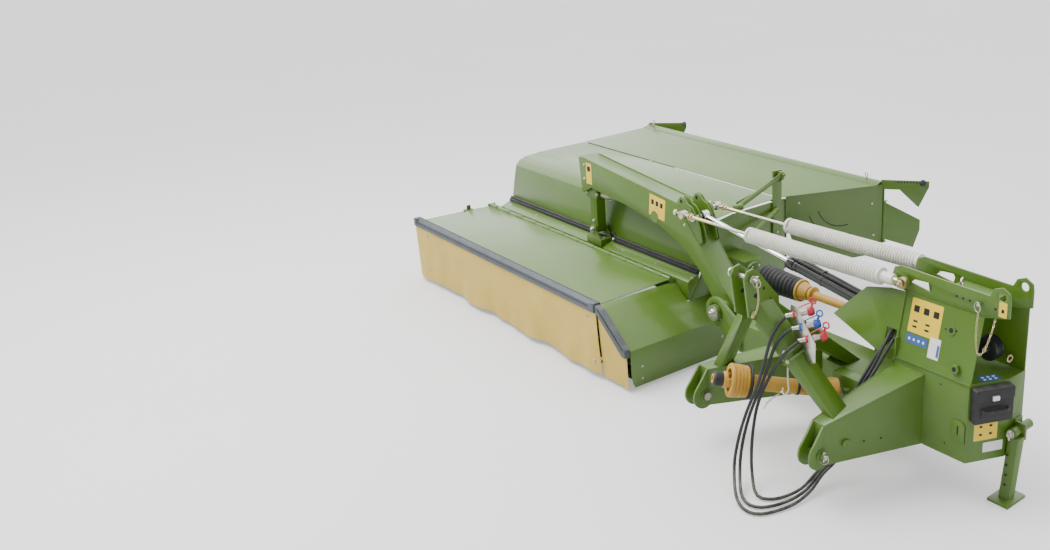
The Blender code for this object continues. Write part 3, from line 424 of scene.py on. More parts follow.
def finish(name, look):
    # one finish: base tone with slow change, bare edges, dust and relief
    material = bpy.data.materials.new(name)
    material.use_nodes = True
    tree = material.node_tree
    shader = tree.nodes["Principled BSDF"]

    def placed(group, **values):
        node = tree.nodes.new("ShaderNodeGroup")
        node.node_tree = group
        for label, value in values.items():
            node.inputs[label].default_value = value
        return node

    def mixed(mask, first, second):
        node = tree.nodes.new("ShaderNodeMix")
        node.data_type = "RGBA"
        tree.links.new(mask, node.inputs["Factor"])
        for socket, value in ((node.inputs["A"], first), (node.inputs["B"], second)):
            if isinstance(value, tuple):
                socket.default_value = (*value, 1)
            else:
                tree.links.new(value, socket)
        return node.outputs["Result"]

    grain = placed(grainTree, Fine=look.get("fine", 900.0), Broad=look.get("broad", 2.5))
    colour = mixed(grain.outputs["Tone"], look["colour"], look["shade"])
    rough = math2(tree, "MULTIPLY_ADD", grain.outputs["Tone"], look.get("roughChange", 0.08), look["rough"])
    if look.get("wear"):
        wear = placed(wearTree, Amount=look["wear"])
        colour = mixed(wear.outputs["Mask"], colour, look.get("bare", (0.33, 0.32, 0.30)))
        rough = math2(tree, "MULTIPLY_ADD", wear.outputs["Mask"], 0.15, rough)
    if look.get("dust"):
        dust = placed(dustTree, Amount=look["dust"], Reach=look.get("reach", 0.5))
        colour = mixed(dust.outputs["Mask"], colour, look.get("dustTone", (0.30, 0.27, 0.20)))
        rough = math2(tree, "MULTIPLY_ADD", dust.outputs["Mask"], 0.45, rough, clamp=True)
    height = grain.outputs["Height"]
    if look.get("weave"):
        weave = placed(weaveTree, Threads=look["weave"])
        height = math2(tree, "ADD", height, weave.outputs["Height"])
    bump = tree.nodes.new("ShaderNodeBump")
    bump.inputs["Strength"].default_value = look.get("relief", 0.1)
    bump.inputs["Distance"].default_value = look.get("depth", 0.0004)
    tree.links.new(height, bump.inputs["Height"])
    tree.links.new(colour, shader.inputs["Base Color"])
    tree.links.new(rough, shader.inputs["Roughness"])
    tree.links.new(bump.outputs["Normal"], shader.inputs["Normal"])
    shader.inputs["Metallic"].default_value = look.get("metal", 0.0)
    shader.inputs["Coat Weight"].default_value = look.get("coat", 0.0)
    shader.inputs["Coat Roughness"].default_value = look.get("coatRough", 0.15)
    shader.inputs["Sheen Weight"].default_value = look.get("sheen", 0.0)
    return material


looks = {"greenPaint": {"colour": (0.082, 0.165, 0.012), "shade": (0.070, 0.145, 0.010), "rough": 0.36,
                        "coat": 0.20, "coatRough": 0.20, "wear": 0.40, "dust": 0.05, "fine": 700.0,
                        "relief": 0.05, "broad": 1.8}, "greenSheet": {"colour": (0.084, 0.168, 0.012),
                                                                      "shade": (0.074, 0.150, 0.010),
                                                                      "rough": 0.32, "coat": 0.42,
                                                                      "coatRough": 0.14, "wear": 0.28,
                                                                      "dust": 0.05, "fine": 260.0,
                                                                      "relief": 0.05, "broad": 1.2},
         "beadRubber": {"colour": (0.075, 0.090, 0.105), "shade": (0.055, 0.067, 0.080), "rough": 0.45,
                        "dust": 0.4, "fine": 500.0, "relief": 0.25},
         "curtainCloth": {"colour": (0.66, 0.465, 0.090), "shade": (0.60, 0.415, 0.075), "rough": 0.66,
                          "sheen": 0.05, "dust": 0.06, "weave": 420.0, "relief": 0.30, "depth": 0.0006,
                          "broad": 4.0}, "guardPlastic": {"colour": (0.56, 0.32, 0.035),
                                                          "shade": (0.46, 0.25, 0.028), "rough": 0.42,
                                                          "dust": 0.25, "fine": 300.0, "relief": 0.12,
                                                          "broad": 7.0},
         "zincPlate": {"colour": (0.66, 0.64, 0.58), "shade": (0.50, 0.48, 0.40), "rough": 0.30,
                       "metal": 1.0, "fine": 400.0, "relief": 0.08, "broad": 25.0},
         "brassZinc": {"colour": (0.72, 0.60, 0.34), "shade": (0.55, 0.47, 0.28), "rough": 0.30,
                       "metal": 1.0, "fine": 400.0, "relief": 0.08, "broad": 25.0},
         "springPaint": {"colour": (0.74, 0.73, 0.66), "shade": (0.64, 0.63, 0.55), "rough": 0.35,
                         "coat": 0.2, "wear": 0.25, "fine": 500.0, "relief": 0.06, "broad": 9.0},
         "blackPaint": {"colour": (0.020, 0.021, 0.023), "shade": (0.014, 0.014, 0.015), "rough": 0.28,
                        "coat": 0.3, "wear": 0.3, "dust": 0.2, "reach": 0.4, "fine": 500.0, "relief": 0.05},
         "chromeRod": {"colour": (0.80, 0.81, 0.82), "shade": (0.74, 0.75, 0.76), "rough": 0.10,
                       "metal": 1.0, "roughChange": 0.05, "relief": 0.02},
         "softRubber": {"colour": (0.024, 0.025, 0.027), "shade": (0.018, 0.018, 0.020), "rough": 0.52,
                        "dust": 0.35, "reach": 0.35, "fine": 600.0, "relief": 0.2},
         "wornSteel": {"colour": (0.30, 0.29, 0.27), "shade": (0.17, 0.14, 0.11), "rough": 0.42,
                       "metal": 0.9, "dust": 0.4, "fine": 220.0, "relief": 0.2, "broad": 12.0},
         "yellowLabel": {"colour": (0.86, 0.60, 0.030), "shade": (0.82, 0.56, 0.025), "rough": 0.35,
                         "relief": 0.02}, "whiteLabel": {"colour": (0.84, 0.84, 0.82),
                                                         "shade": (0.80, 0.80, 0.78), "rough": 0.35,
                                                         "relief": 0.02},
         "blueLabel": {"colour": (0.045, 0.12, 0.36), "shade": (0.04, 0.11, 0.33), "rough": 0.35,
                       "relief": 0.02}, "blueCap": {"colour": (0.02, 0.09, 0.42),
                                                    "shade": (0.018, 0.08, 0.36), "rough": 0.35,
                                                    "relief": 0.05},
         "redCap": {"colour": (0.55, 0.015, 0.035), "shade": (0.47, 0.012, 0.03), "rough": 0.35,
                    # near-black finish: painted shade inside holes, slots, sockets and bores, and also the
                    # real ink of printed marks
                    "relief": 0.05}, "darkHole": {"colour": (0.012, 0.014, 0.010),
                                                  "shade": (0.008, 0.010, 0.007), "rough": 0.8,
                                                  "relief": 0.02},
         "toolPlastic": {"colour": (0.022, 0.022, 0.024), "shade": (0.018, 0.018, 0.019), "rough": 0.55,
                         "dust": 0.3, "fine": 350.0, "relief": 0.25},
         "paleFloor": {"colour": studio["floor"][:3], "shade": (0.64, 0.64, 0.63), "rough": 0.80,
                       "fine": 60.0, "relief": 0.02, "broad": 0.4},}
finishes = {name: finish(name, look) for name, look in looks.items()}
print("finishes ready")


def keep(parts, name, look, body, smooth=35):
    # joins the parts, cleans them and fixes the piece to its body
    obj = joined(parts if isinstance(parts, list) else [parts])
    obj.name = name
    obj.data.name = name
    obj.data.materials.clear()
    obj.data.materials.append(finishes[look])
    editAll(obj)
    bpy.ops.mesh.remove_doubles(threshold=0.00002)
    bpy.ops.mesh.normals_make_consistent(inside=False)
    clear()
    pick(obj)
    bpy.ops.object.transform_apply(location=True, rotation=True, scale=True)
    bpy.ops.object.shade_smooth_by_angle(angle=math.radians(smooth))
    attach(obj, body)
    return obj


bpy.ops.mesh.primitive_plane_add(size=500, location=at(0, 0, -0.001))
floor = bpy.context.object
floor.name = "floor"
bpy.ops.object.transform_apply(location=True, rotation=True, scale=True)
floor.data.materials.append(finishes["paleFloor"])
# a little light of its own, for the camera alone, keeps the ground pale without lighting the sides
floorTree = finishes["paleFloor"].node_tree
floorShader = floorTree.nodes["Principled BSDF"]
floorShader.inputs["Emission Color"].default_value = (1, 1, 1, 1)
floorRay = floorTree.nodes.new("ShaderNodeLightPath").outputs["Is Camera Ray"]
floorTree.links.new(math2(floorTree, "MULTIPLY", floorRay, studio["floorGlow"]),
                    floorShader.inputs["Emission Strength"])

# hydraulic hoses: from the hole in the drive body, under the near arm, up to the couplings
hoses = {
    "radius": 0.0085,
    "plugWay": (0.62, 0.72, 0.18),
    "routes": (
        ((0.189, 0.030, 0.911), (0.154, -0.030, 0.862), (0.160, -0.085, 0.804), (0.140, -0.120, 0.653),
         (0.114, -0.140, 0.537), (0.065, -0.160, 0.400), (0.036, -0.190, 0.247), (0.030, -0.215, 0.090),
         (0.190, -0.335, 0.022), (0.322, -0.330, 0.0125), (0.385, -0.170, 0.0125), (0.385, -0.030, 0.030),
         (0.379, 0.080, 0.090), (0.399, 0.170, 0.156), (0.419, 0.235, 0.330), (0.439, 0.300, 0.500),
         (0.454, 0.380, 0.600), (0.473, 0.440, 0.694), (0.472, 0.5197, 0.745)),
        ((0.234, 0.030, 0.857), (0.195, -0.020, 0.830), (0.179, -0.070, 0.777), (0.151, -0.098, 0.651),
         (0.119, -0.118, 0.531), (0.071, -0.138, 0.394), (0.046, -0.166, 0.240), (0.046, -0.190, 0.090),
         (0.180, -0.295, 0.022), (0.286, -0.285, 0.0125), (0.345, -0.160, 0.0125), (0.360, -0.030, 0.030),
         (0.357, 0.080, 0.085), (0.377, 0.170, 0.150), (0.397, 0.235, 0.325), (0.417, 0.300, 0.495),
         (0.432, 0.380, 0.602), (0.452, 0.440, 0.716), (0.445, 0.5197, 0.766)),
        ((0.279, 0.030, 0.807), (0.256, -0.060, 0.772), (0.190, -0.078, 0.668), (0.121, -0.088, 0.537),
         (0.085, -0.104, 0.422), (0.075, -0.120, 0.314), (0.082, -0.142, 0.190), (0.110, -0.165, 0.075),
         (0.205, -0.225, 0.022), (0.270, -0.200, 0.0125), (0.310, -0.120, 0.0125), (0.332, -0.020, 0.030),
         (0.335, 0.080, 0.080), (0.355, 0.170, 0.144), (0.375, 0.235, 0.320), (0.395, 0.300, 0.490),
         (0.408, 0.380, 0.594), (0.435, 0.440, 0.690), (0.443, 0.5197, 0.728)),
    ),
    "caps": ("redCap", "blueCap", "redCap"),
}
plugWay = Vector(hoses["plugWay"]).normalized()
for number, route in enumerate(hoses["routes"], 1):
    tip, tail = Vector(route[0]), Vector(route[-1])
    lead = tip - plugWay * 0.022
    path = [tip] + smoothLine([lead] + list(route[1:-1]) + [tail - Vector((0, 0.022, 0))], 0.030) + [tail]
    path = [at(*p) for p in path][::-1]
    data = bpy.data.curves.new("hose", "CURVE")
    data.dimensions = "3D"
    data.bevel_depth = hoses["radius"]
    data.bevel_resolution = 4
    data.use_fill_caps = True
    line = data.splines.new("POLY")
    line.points.add(len(path) - 1)
    for point, place in zip(line.points, path):
        point.co = (*place, 1)
    line.use_smooth = True
    hose = bpy.data.objects.new("hoseLine%d" % number, data)
    bpy.context.scene.collection.objects.link(hose)
    data.materials.append(finishes["softRubber"])
    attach(hose, "headstock")
    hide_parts("hose_%d" % number)
    # crimped ferrule, coupling body, coloured collar and cap
    start, away = at(*tip), plugWay
    ferrule = keep([lathe([(0.0088, -0.030), (0.0115, -0.030), (0.0120, -0.020), (0.0112, -0.012),
                           (0.0124, -0.004), (0.0124, 0.006), (0.0088, 0.006)], start, start + away, 20),
                    lathe([(0, 0.004), (0.0150, 0.004), (0.0150, 0.022), (0.0115, 0.026), (0.0115, 0.040),
                           (0.0158, 0.044), (0.0158, 0.060), (0.0142, 0.062), (0.0142, 0.078),
                           (0.0120, 0.082), (0.0120, 0.100), (0, 0.100)], start, start + away, 24)],
                   "couplingBody%d" % number, "zincPlate", "headstock")
    colour = hoses["caps"][number - 1]
    hoseCap = keep([lathe([(0.0135, 0.005), (0.0182, 0.006), (0.0182, 0.018), (0.0135, 0.019)], start,
                          start + away, 20), lathe([(0.0122, 0.080), (0.0215, 0.082), (0.0235, 0.088),
                                                    (0.0235, 0.104), (0.0170, 0.116), (0, 0.118),
                                                    (0, 0.112), (0.0122, 0.106)], start, start + away, 20),
                    plate([(-0.018, 0.0), (0.018, 0.0), (0.014, 0.026), (0.005, 0.034), (-0.005, 0.034),
                           (-0.014, 0.026)], 0.006, flat(start + away * 0.098 + Vector((0, 0, 0.016)),
                                                         (0.75, -0.65, 0), (0.2, 0.2, 1)), 0.002),
                    ring(start + away * 0.104 + Vector((0.006, 0, 0.056)), (0.35, -0.9, 0.2), 0.0155,
                         0.0042), wire([start + away * t + Vector((0.004, -0.004, z)) for t,
                                        z in ((0.012, 0.017), (0.030, 0.030), (0.056, 0.040),
                                              (0.084, 0.046), (0.100, 0.050))], 0.0032)],
                   "couplingCap%d" % number, colour, "headstock")
print("hoses laid")

# parking strip of the couplings
couplerStrip = {"outline": ((0.2012, 0.8045), (0.2750, 0.7205), (0.3092, 0.6825), (0.345, 0.700),
                            (0.345, 0.800), (0.260, 0.900), (0.215, 0.960), (0.175, 0.960), (0.165, 0.900),
                            (0.190, 0.850)), "y": (0.040, 0.044)}
strip = plate(couplerStrip["outline"], 0.004, flat(at(0, sum(couplerStrip["y"]) / 2, 0), (1, 0, 0),
                                                   (0, 0, 1)), 0.0012)
strip = keep(strip, "couplingStrip", "zincPlate", "headstock")
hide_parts("coupler_holder")


def refined(nodeName, look, edge=0.002, name=None, angle=30, smooth=38):
    # a welded copy of the plain solid with its corners rounded stands for it
    source = frame["nodes"][nodeName]
    obj = bpy.data.objects.new(name or nodeName, source.data.copy())
    bpy.context.scene.collection.objects.link(obj)
    editAll(obj)
    bpy.ops.mesh.remove_doubles(threshold=0.00005)
    bpy.ops.mesh.dissolve_limited(angle_limit=math.radians(1.0))
    clear()
    pick(obj)
    if edge:
        bevel = obj.modifiers.new("edge", "BEVEL")
        bevel.width = edge
        bevel.segments = 2
        bevel.limit_method = "ANGLE"
        bevel.angle_limit = math.radians(angle)
        bpy.ops.object.modifier_apply(modifier="edge")
    obj.data.materials.clear()
    obj.data.materials.append(finishes[look])
    editAll(obj)
    bpy.ops.mesh.normals_make_consistent(inside=False)
    clear()
    pick(obj)
    bpy.ops.object.shade_smooth_by_angle(angle=math.radians(smooth))
    obj.name = name or nodeName + "Steel"
    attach(obj, source["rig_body"])
    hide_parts(nodeName)
    return obj


welded = {"boom": 0.0040, "hanger": 0.003, "hanger_bracket": 0.002, "hood_post": 0.002,
          "drive_body": 0.0022, "spring_rail": 0.0025, "mast": 0.003, "lower_arm_near": 0.0035,
          "lower_arm_far": 0.0035, "cross_beam": 0.004, "transfer_case": 0.006, "input_gearbox": 0.006,
          "deck_gearbox": 0.006, "stand_leg": 0.002, "swath_plate_near": 0.0012, "swath_plate_far": 0.0012,
          "cutter_bar": 0.002,}
for nodeName, edge in welded.items():
    refined(nodeName, "greenPaint", edge)
for nodeName, edge in {"conditioner_hood": 0.0012, "rear_cover": 0.0012, "deck_frame": 0.0015,
                       "front_flap": 0.0012, "guard_near": 0.0012, "guard_far": 0.0012}.items():
    refined(nodeName, "greenSheet", edge)
print("painted steel refined")

# fasteners are modelled once and copied
fasteners = {"across": 0.0100, "head": 0.0075, "washer": 0.0130, "washerThick": 0.0022}
clear()
bpy.ops.mesh.primitive_cylinder_add(vertices=6, radius=fasteners["across"], depth=fasteners["head"],
                                    location=(0, 0, fasteners["head"] / 2 + fasteners["washerThick"]))
hexHead = bpy.context.object
editAll(hexHead)
bpy.ops.mesh.bevel(offset=0.0008, segments=1, affect="EDGES")
clear()
washer = lathe([(0, 0), (fasteners["washer"], 0), (fasteners["washer"], fasteners["washerThick"]),
                (0, fasteners["washerThick"])], (0, 0, 0), (0, 0, 1), 18)
stub = lathe([(0, 0.004), (0.0048, 0.004), (0.0056, 0.0125), (0.0046, 0.0140), (0, 0.0140)], (0, 0, 0),
             (0, 0, 1), 10)
boltMaster = joined([hexHead, washer, stub])


def bolts(spots, size=1.0):
    # spots: (x, y, z, direction)
    made = []
    for x, y, z, way in spots:
        made.append(copied(boltMaster, aimed(at(x, y, z), way) @ Matrix.Scale(size, 4)))
    return made


def chain(points, link=0.016, bar=0.0016):
    # links along a line, each turned a quarter from the last
    made = []
    line = smoothLine([at(*p) for p in points], link * 0.78)
    for k, (a, b) in enumerate(zip(line, line[1:])):
        way = (b - a).normalized()
        side = way.cross(Vector((0, 0, 1)) if abs(way.z) < 0.9 else Vector((1, 0, 0))).normalized()
        if k % 2:
            side = way.cross(side).normalized()
        oval = []
        for i in range(10):
            angle = 2 * math.pi * i / 10
            oval.append((a + b) / 2 + way * math.cos(angle) * link * 0.56
                        + side * math.sin(angle) * link * 0.30)
        made.append(wire(oval, bar, 1, True))
    return made


def lynch(x, y, z, way, size=0.030):
    # pin with a spring ring through a cross hole
    place, way = at(x, y, z), Vector(way).normalized()
    side = way.cross(Vector((0, 0, 1))).normalized()
    return [ring(place + Vector((0, 0, -size * 0.55)), side + way * 0.35, size, 0.0022),
            pin(place + Vector((0, 0, 0.020)), place - Vector((0, 0, 0.030)), 0.0048, 10),
            block(place + Vector((-0.008, -0.008, 0.014)), place + Vector((0.008, 0.008, 0.026)), 0.003)]


facing = (0, -1, 0)
upward = (0, 0, 1)

# cloth skirts: a flat cut hung from the bead, falling in shallow waves
skirt = {"top": 0.4397, "low": 0.034, "y": -0.031, "thick": 0.0026, "wave": 0.013, "cornerWave": 0.006,
         "left": -3.935, "leftLow": -3.925, "rightTop": -1.452, "rightLow": -1.410, "across": 150,
         "down": 22, "eyelet": 0.0115, "eyeletBar": 0.0030, "eyelets": ((-3.745, 0.137), (-1.480, 0.110),
                                                                        (-3.745, 0.395), (-1.545, 0.395))}


def skirtWave(x, drop):
    sway = math.sin(x * 9.1 + 0.7) + 0.55 * math.sin(x * 15.7 + 2.1) + 0.30 * math.sin(x * 27.3 + 0.4
                                                                                       + drop * 2)
    return sway * drop ** 1.5


def mixed(first, last, share):
    return first + (last - first) * share


def hungCloth(name, topLeft, topRight, lowLeft, lowRight, y, wave, across, down, body, node):
    clear()
    bpy.ops.mesh.primitive_grid_add(x_subdivisions=across, y_subdivisions=down, size=2)
    obj = bpy.context.object
    for vertex in obj.data.vertices:
        u, v = (vertex.co.x + 1) / 2, (1 - vertex.co.y) / 2
        x, z = (mixed(mixed(topLeft[i], topRight[i], u), mixed(lowLeft[i], lowRight[i], u), v)
                for i in (0, 1))
        hem = 0.004 * math.sin(x * 9.1 + 2.2) * v
        vertex.co = at(x, y + wave * skirtWave(x, v), z + hem)
    solid = obj.modifiers.new("thick", "SOLIDIFY")
    solid.thickness = skirt["thick"]
    solid.offset = 0
    bpy.ops.object.modifier_apply(modifier="thick")
    obj = keep(obj, name, "curtainCloth", body, 60)
    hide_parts(node)
    return obj


frontSkirt = hungCloth("frontSkirt", (skirt["left"], skirt["top"]), (skirt["rightTop"], skirt["top"]),
                       (skirt["leftLow"], skirt["low"]), (skirt["rightLow"], skirt["low"]), skirt["y"],
                       skirt["wave"], skirt["across"], skirt["down"], "flap", "front_curtain")
cornerSkirt = hungCloth("cornerSkirt", (-1.4455, 0.4250), (-1.1560, 0.2450), (-1.405, 0.024),
                        (-1.152, 0.024), -0.019, skirt["cornerWave"], 24, skirt["down"], "deck",
                        "corner_curtain")
eyelets = []
for x, z in skirt["eyelets"]:
    sway = skirt["wave"] * skirtWave(x, (0.44 - z) / 0.406)
    eyelets.append(ring(at(x, skirt["y"] - 0.0035 + sway, z), facing, skirt["eyelet"], skirt["eyeletBar"]))
eyelets = keep(eyelets, "skirtEyelets", "zincPlate", "flap")
print("skirts hung")

# rubber bead: the dark seam of its clamp along the flap and down the corner
seam = {"left": -3.930, "right": -1.530, "radius": 0.0022, "step": 0.06, "cornerRadius": 0.0030,
        "cornerStep": 0.053}
seamLines = [straight((seam["left"], y, z), (seam["right"], y, z), seam["step"], seam["radius"])
             for y, z in ((0.001, 0.4990), (-0.0395, 0.470))]
keep(seamLines, "beadSeam", "softRubber", "flap")
keep(straight((-1.425, -0.0375, 0.474), (-1.170, -0.0375, 0.279), seam["cornerStep"], seam["cornerRadius"]),
     "cornerSeam", "softRubber", "deck")
keep([block(at(-3.9450, -0.0430, 0.4400), at(-3.8900, 0.0150, 0.5020), 0.010),
      block(at(-1.5000, -0.0440, 0.4380), at(-1.4570, 0.0140, 0.5030), 0.010)], "beadEnds", "beadRubber",
     "flap")

# long hinge of the flap: knuckles, and the rubber seal before the hood
hinge = {"first": -3.78, "pitch": 0.196, "count": 12, "y": 0.561, "z": 0.512, "radius": 0.0185, "long": 0.090}
knuckles = []
for k in range(hinge["count"]):
    place = at(hinge["first"] + hinge["pitch"] * k, hinge["y"], hinge["z"])
    knuckles.append(lathe([(0, 0), (hinge["radius"], 0.002), (hinge["radius"], hinge["long"] - 0.002),
                           (0, hinge["long"])], place, place + Vector((1, 0, 0)), 16))
keep(knuckles, "hingeKnuckles", "greenSheet", "deck")
sealLine = [(-3.690, 0.6915, 0.580), (-2.480, 0.6915, 0.580), (-2.455, 0.6935, 0.600),
            (-2.262, 0.6935, 0.600), (-2.240, 0.6915, 0.580), (-1.310, 0.6915, 0.580)]
keep([wire([at(*p) for p in sealLine], 0.0105),
      block(at(-3.690, 0.668, 0.546), at(-2.480, 0.6930, 0.574), 0.002),
      block(at(-2.240, 0.668, 0.546), at(-1.312, 0.6930, 0.574), 0.002)], "hoodSeal", "softRubber", "deck")
keep([block(at(-3.690, 1.398, 0.892), at(-1.312, 1.446, 0.8985), 0.001),
      block(at(-3.700, 1.462, 0.600), at(-3.6945, 1.486, 0.905), 0.001),
      block(at(-1.3125, 1.460, 0.395), at(-1.3075, 1.492, 0.905), 0.001)], "coverSeal", "softRubber", "deck")
hangerX = -2.36
stripX = [-3.60 + 0.38 * k for k in range(7)]
stripBolts = [(x, 0.635, 0.5345, (0, -0.38, 0.92)) for x in stripX if abs(x - hangerX) > 0.15]
shaftY, shaftZ = 0.950, 0.560
panelWay = Vector((-1.028 + 1.303, 2.188 - 1.472, 0)).normalized()
panelOut = Vector((panelWay.y, -panelWay.x, 0))


def circled(x, radius, angles, way):
    # bolt spots round the line of the deck shaft
    return [(x, shaftY + radius * math.cos(a), shaftZ + radius * math.sin(a), way) for a in angles]


def onPanel(along, z, out=0.0045):
    spot = Vector((-1.303, 1.472, 0)) + panelWay * along + panelOut * out
    return (spot.x, spot.y, z, tuple(panelOut))


deckBolts = stripBolts + [onPanel(0.10, 0.870), onPanel(0.68, 0.800), onPanel(0.08, 0.700),
                          onPanel(0.70, 0.560)]
deckBolts += [(-1.2937, 1.385, z, (1, 0, 0)) for z in (1.090, 0.860, 0.765, 0.690)]
deckBolts += [(-1.1495, 0.088, 0.150, (1, 0, 0)), (-1.1495, 0.088, 0.070, (1, 0, 0)),
              (-1.1495, 0.740, 0.150, (1, 0, 0)), (-1.1495, 0.740, 0.070, (1, 0, 0)),
              (-2.430, 0.630, 0.5760, upward), (-2.290, 0.630, 0.5760, upward)]
deckBolts += [(-1.060 - 0.29 * k, 2.1905, 0.915, (0, 1, 0)) for k in range(10)]
deckBolts += circled(-1.0497, 0.058, [k * math.pi / 3 for k in range(6)], (1, 0, 0))
keep(bolts(deckBolts, 0.95), "deckBolts", "zincPlate", "deck")
# dark lines along the quadrant slots of the panel: painted shade standing in for the open slots
slotShades = []
for turned in (0.0, 0.075):
    arcPoints = []
    for k in range(9):
        angle = math.radians(200 + 85 * k / 8)
        arcPoints.append(Vector((0.44 + (0.20 + turned) * math.cos(angle),
                                 0.86 + (0.20 + turned) * math.sin(angle), 0)))
    slotShades.append(wire([at(*onPanel(q.x, q.y, 0.0036)[:3]) for q in arcPoints], 0.0030, 1))
keep(slotShades, "panelSlotShade", "darkHole", "deck")
# rings and pins on the rear rail, the knobs of the quadrants, and near-black discs that paint the shade in
# the quadrants' holes
keep([ring(at(-3.700, 2.165, 0.985), (1, 0, 0), 0.020, 0.0045),
      pin(at(-3.700, 2.165, 0.948), at(-3.700, 2.165, 0.967), 0.007),
      ring(at(-1.160, 2.160, 0.985), (0.3, 1, 0), 0.016, 0.0040),
      pin(at(-1.160, 2.160, 0.948), at(-1.160, 2.160, 0.970), 0.006)], "railRings", "zincPlate", "deck")
keep([lathe([(0, 0), (0.010, 0), (0.010, 0.012), (0.024, 0.020), (0.024, 0.034), (0.014, 0.044), (0, 0.045)],
            at(-0.800, 2.360, 0.952), at(-0.785, 2.340, 0.962), 20),
      lathe([(0, 0), (0.010, 0), (0.010, 0.012), (0.020, 0.020), (0.020, 0.030), (0, 0.036)],
            at(-3.56, 2.420, 0.952), at(-3.55, 2.405, 0.962), 20)], "quadrantKnobs", "toolPlastic", "deck")
# each hole of the quadrant is a thin near-black disc: painted shade
quadHoleShades = []
for k in range(7):
    spot = at(-1.023, 2.183, 0.955) + Vector((0.62, 0.50, 0)).normalized() * (0.110 + 0.022 * k)
    quadHoleShades.append(disc(spot, (0.5, -0.62, 0), 0.0055, 0.0010, 12))
keep(quadHoleShades, "quadrantHoleShade", "darkHole", "deck")
# latch of the far guard
keep([block(at(-3.940, 0.380, 0.468), at(-3.880, 0.450, 0.484), 0.004),
      block(at(-3.915, 0.398, 0.480), at(-3.900, 0.430, 0.520), 0.004)], "guardLatch", "greenPaint",
     "far_guard")
keep([collar(at(-1.290, 1.392, 1.083), (0.1, -0.467, -0.1), 0.0172, 0.030, 0.010, 20),
      pin(at(-1.312, 1.395, 1.105), at(-1.235, 1.395, 1.105), 0.012),
      pin(at(-1.200, 0.900, 0.980), at(-1.178, 0.955, 0.986), 0.022)], "postPins", "greenPaint", "deck")
print("deck detailed")

# boom: blank labels, bolts, ear pins and the weld lines
label = {"thick": 0.0012, "print": 0.0022, "corner": 0.004, "boomFace": 0.5601, "railFace": 0.5438,
         "shelf": 0.656}
level = (1, 0, 0)


def labelOn(x, y, z, wide, tall, ahead, up, look, name, body):
    corner = min(label["corner"], wide / 7)
    sheetPiece = plate(rounded(wide, tall, corner), label["thick"], flat(at(x, y, z), ahead, up), 0)
    return keep(sheetPiece, name, look, body)


def rows(x, y, z, wide, tall, ahead, up, count, columns, look, name, body, fill=0.62):
    # plain printed blocks on a label, with no letters
    first, second = Vector(ahead).normalized(), Vector(up).normalized()
    made = []
    for i in range(count):
        for j in range(columns):
            across = (j + 0.5) / columns * wide - wide / 2
            above = (i + 0.5) / count * tall - tall / 2
            place = at(x, y, z) + first * across + second * above
            mark = rounded(wide / columns * fill, tall / count * fill, 0.002, 2)
            made.append(plate(mark, label["print"], flat(place, ahead, up), 0))
    return keep(made, name, look, body)


def marked(entries, spotOn, ahead, up, body):
    # an entry with counts and a fill is printed marks, one without them a blank label
    for name, look, across, above, out, wide, tall, *counts in entries:
        spot = spotOn(across, above, out)
        if counts:
            rows(*spot, wide, tall, ahead, up, counts[0], counts[1], look, name, body, counts[2])
        else:
            labelOn(*spot, wide, tall, ahead, up, look, name, body)


def onBoom(x, z, out):
    return (x, label["boomFace"] - out, z)


marked((("boomLabelFar", "yellowLabel", -2.345, 1.055, 0.0007, 0.066, 0.150),
        ("boomPrintFar", "darkHole", -2.345, 1.090, 0.0009, 0.050, 0.050, 1, 1, 0.7)), onBoom, level,
       upward, "boom_arm")
marked((("boomLabelNear", "yellowLabel", -1.570, 0.976, 0.0007, 0.165, 0.145),
        ("boomPrintNear", "darkHole", -1.570, 1.000, 0.0009, 0.140, 0.060, 1, 3, 0.55)),
       onBoom, (0.995, 0, -0.105), (0.105, 0, 0.995), "boom_arm")
boomBolts = [(-2.400, 0.5598, 1.110, facing), (-2.402, 0.5598, 1.010, facing),
             (-1.287, 0.5598, 0.921, facing), (-2.300, 0.5848, 0.905, facing),
             (-2.420, 0.5848, 0.905, facing)]
keep(bolts(boomBolts), "boomBolts", "zincPlate", "boom_arm")
earPins = [pin(at(-1.205, 0.5560, 0.985), at(-1.205, 0.7260, 0.985), 0.0165),
           pin(at(-1.205, 0.550, 0.985), at(-1.205, 0.5565, 0.985), 0.024)]
keep(earPins + bolts([(-1.205, 0.7265, 0.985, (0, 1, 0))], 1.6), "earPin", "zincPlate", "boom_arm")
keep([collar(at(-1.24, 0.5480, 1.012), (0, 1, 0), 0.0170, 0.030, 0.012, 24),
      collar(at(-1.24, 0.7230, 1.012), (0, 1, 0), 0.0170, 0.030, 0.012, 24),
      disc(at(-1.60, 0.5600, 0.905), facing, 0.040, 0.0025, 28)],
     "boomBosses", "greenPaint", "boom_arm")
# thin near-black discs in the ear holes paint the shade inside them
earHoleShade = []
for y in (0.5638, 0.5998, 0.6898, 0.7078):
    earHoleShade.append(disc(at(-1.325, y, 1.068), (0, 1, 0), 0.013, 0.0106, 20))
keep(earHoleShade, "earHoleShade", "darkHole", "boom_arm")
welds = []
weld = {"radius": 0.0032, "step": 0.03, "sides": (0.5660, 0.7160)}
for (x1, z1), (x2, z2) in (((-2.440, 1.1593), (-1.3600, 1.0448)), ((-1.3500, 1.0358), (-1.225, 0.8988)),
                           ((-1.220, 0.8948), (-1.045, 0.7058)), ((-1.040, 0.7008), (-0.845, 0.5278))):
    welds += [straight((x1, y, z1), (x2, y, z2), weld["step"], weld["radius"]) for y in weld["sides"]]
keep(welds, "boomWelds", "greenPaint", "boom_arm")
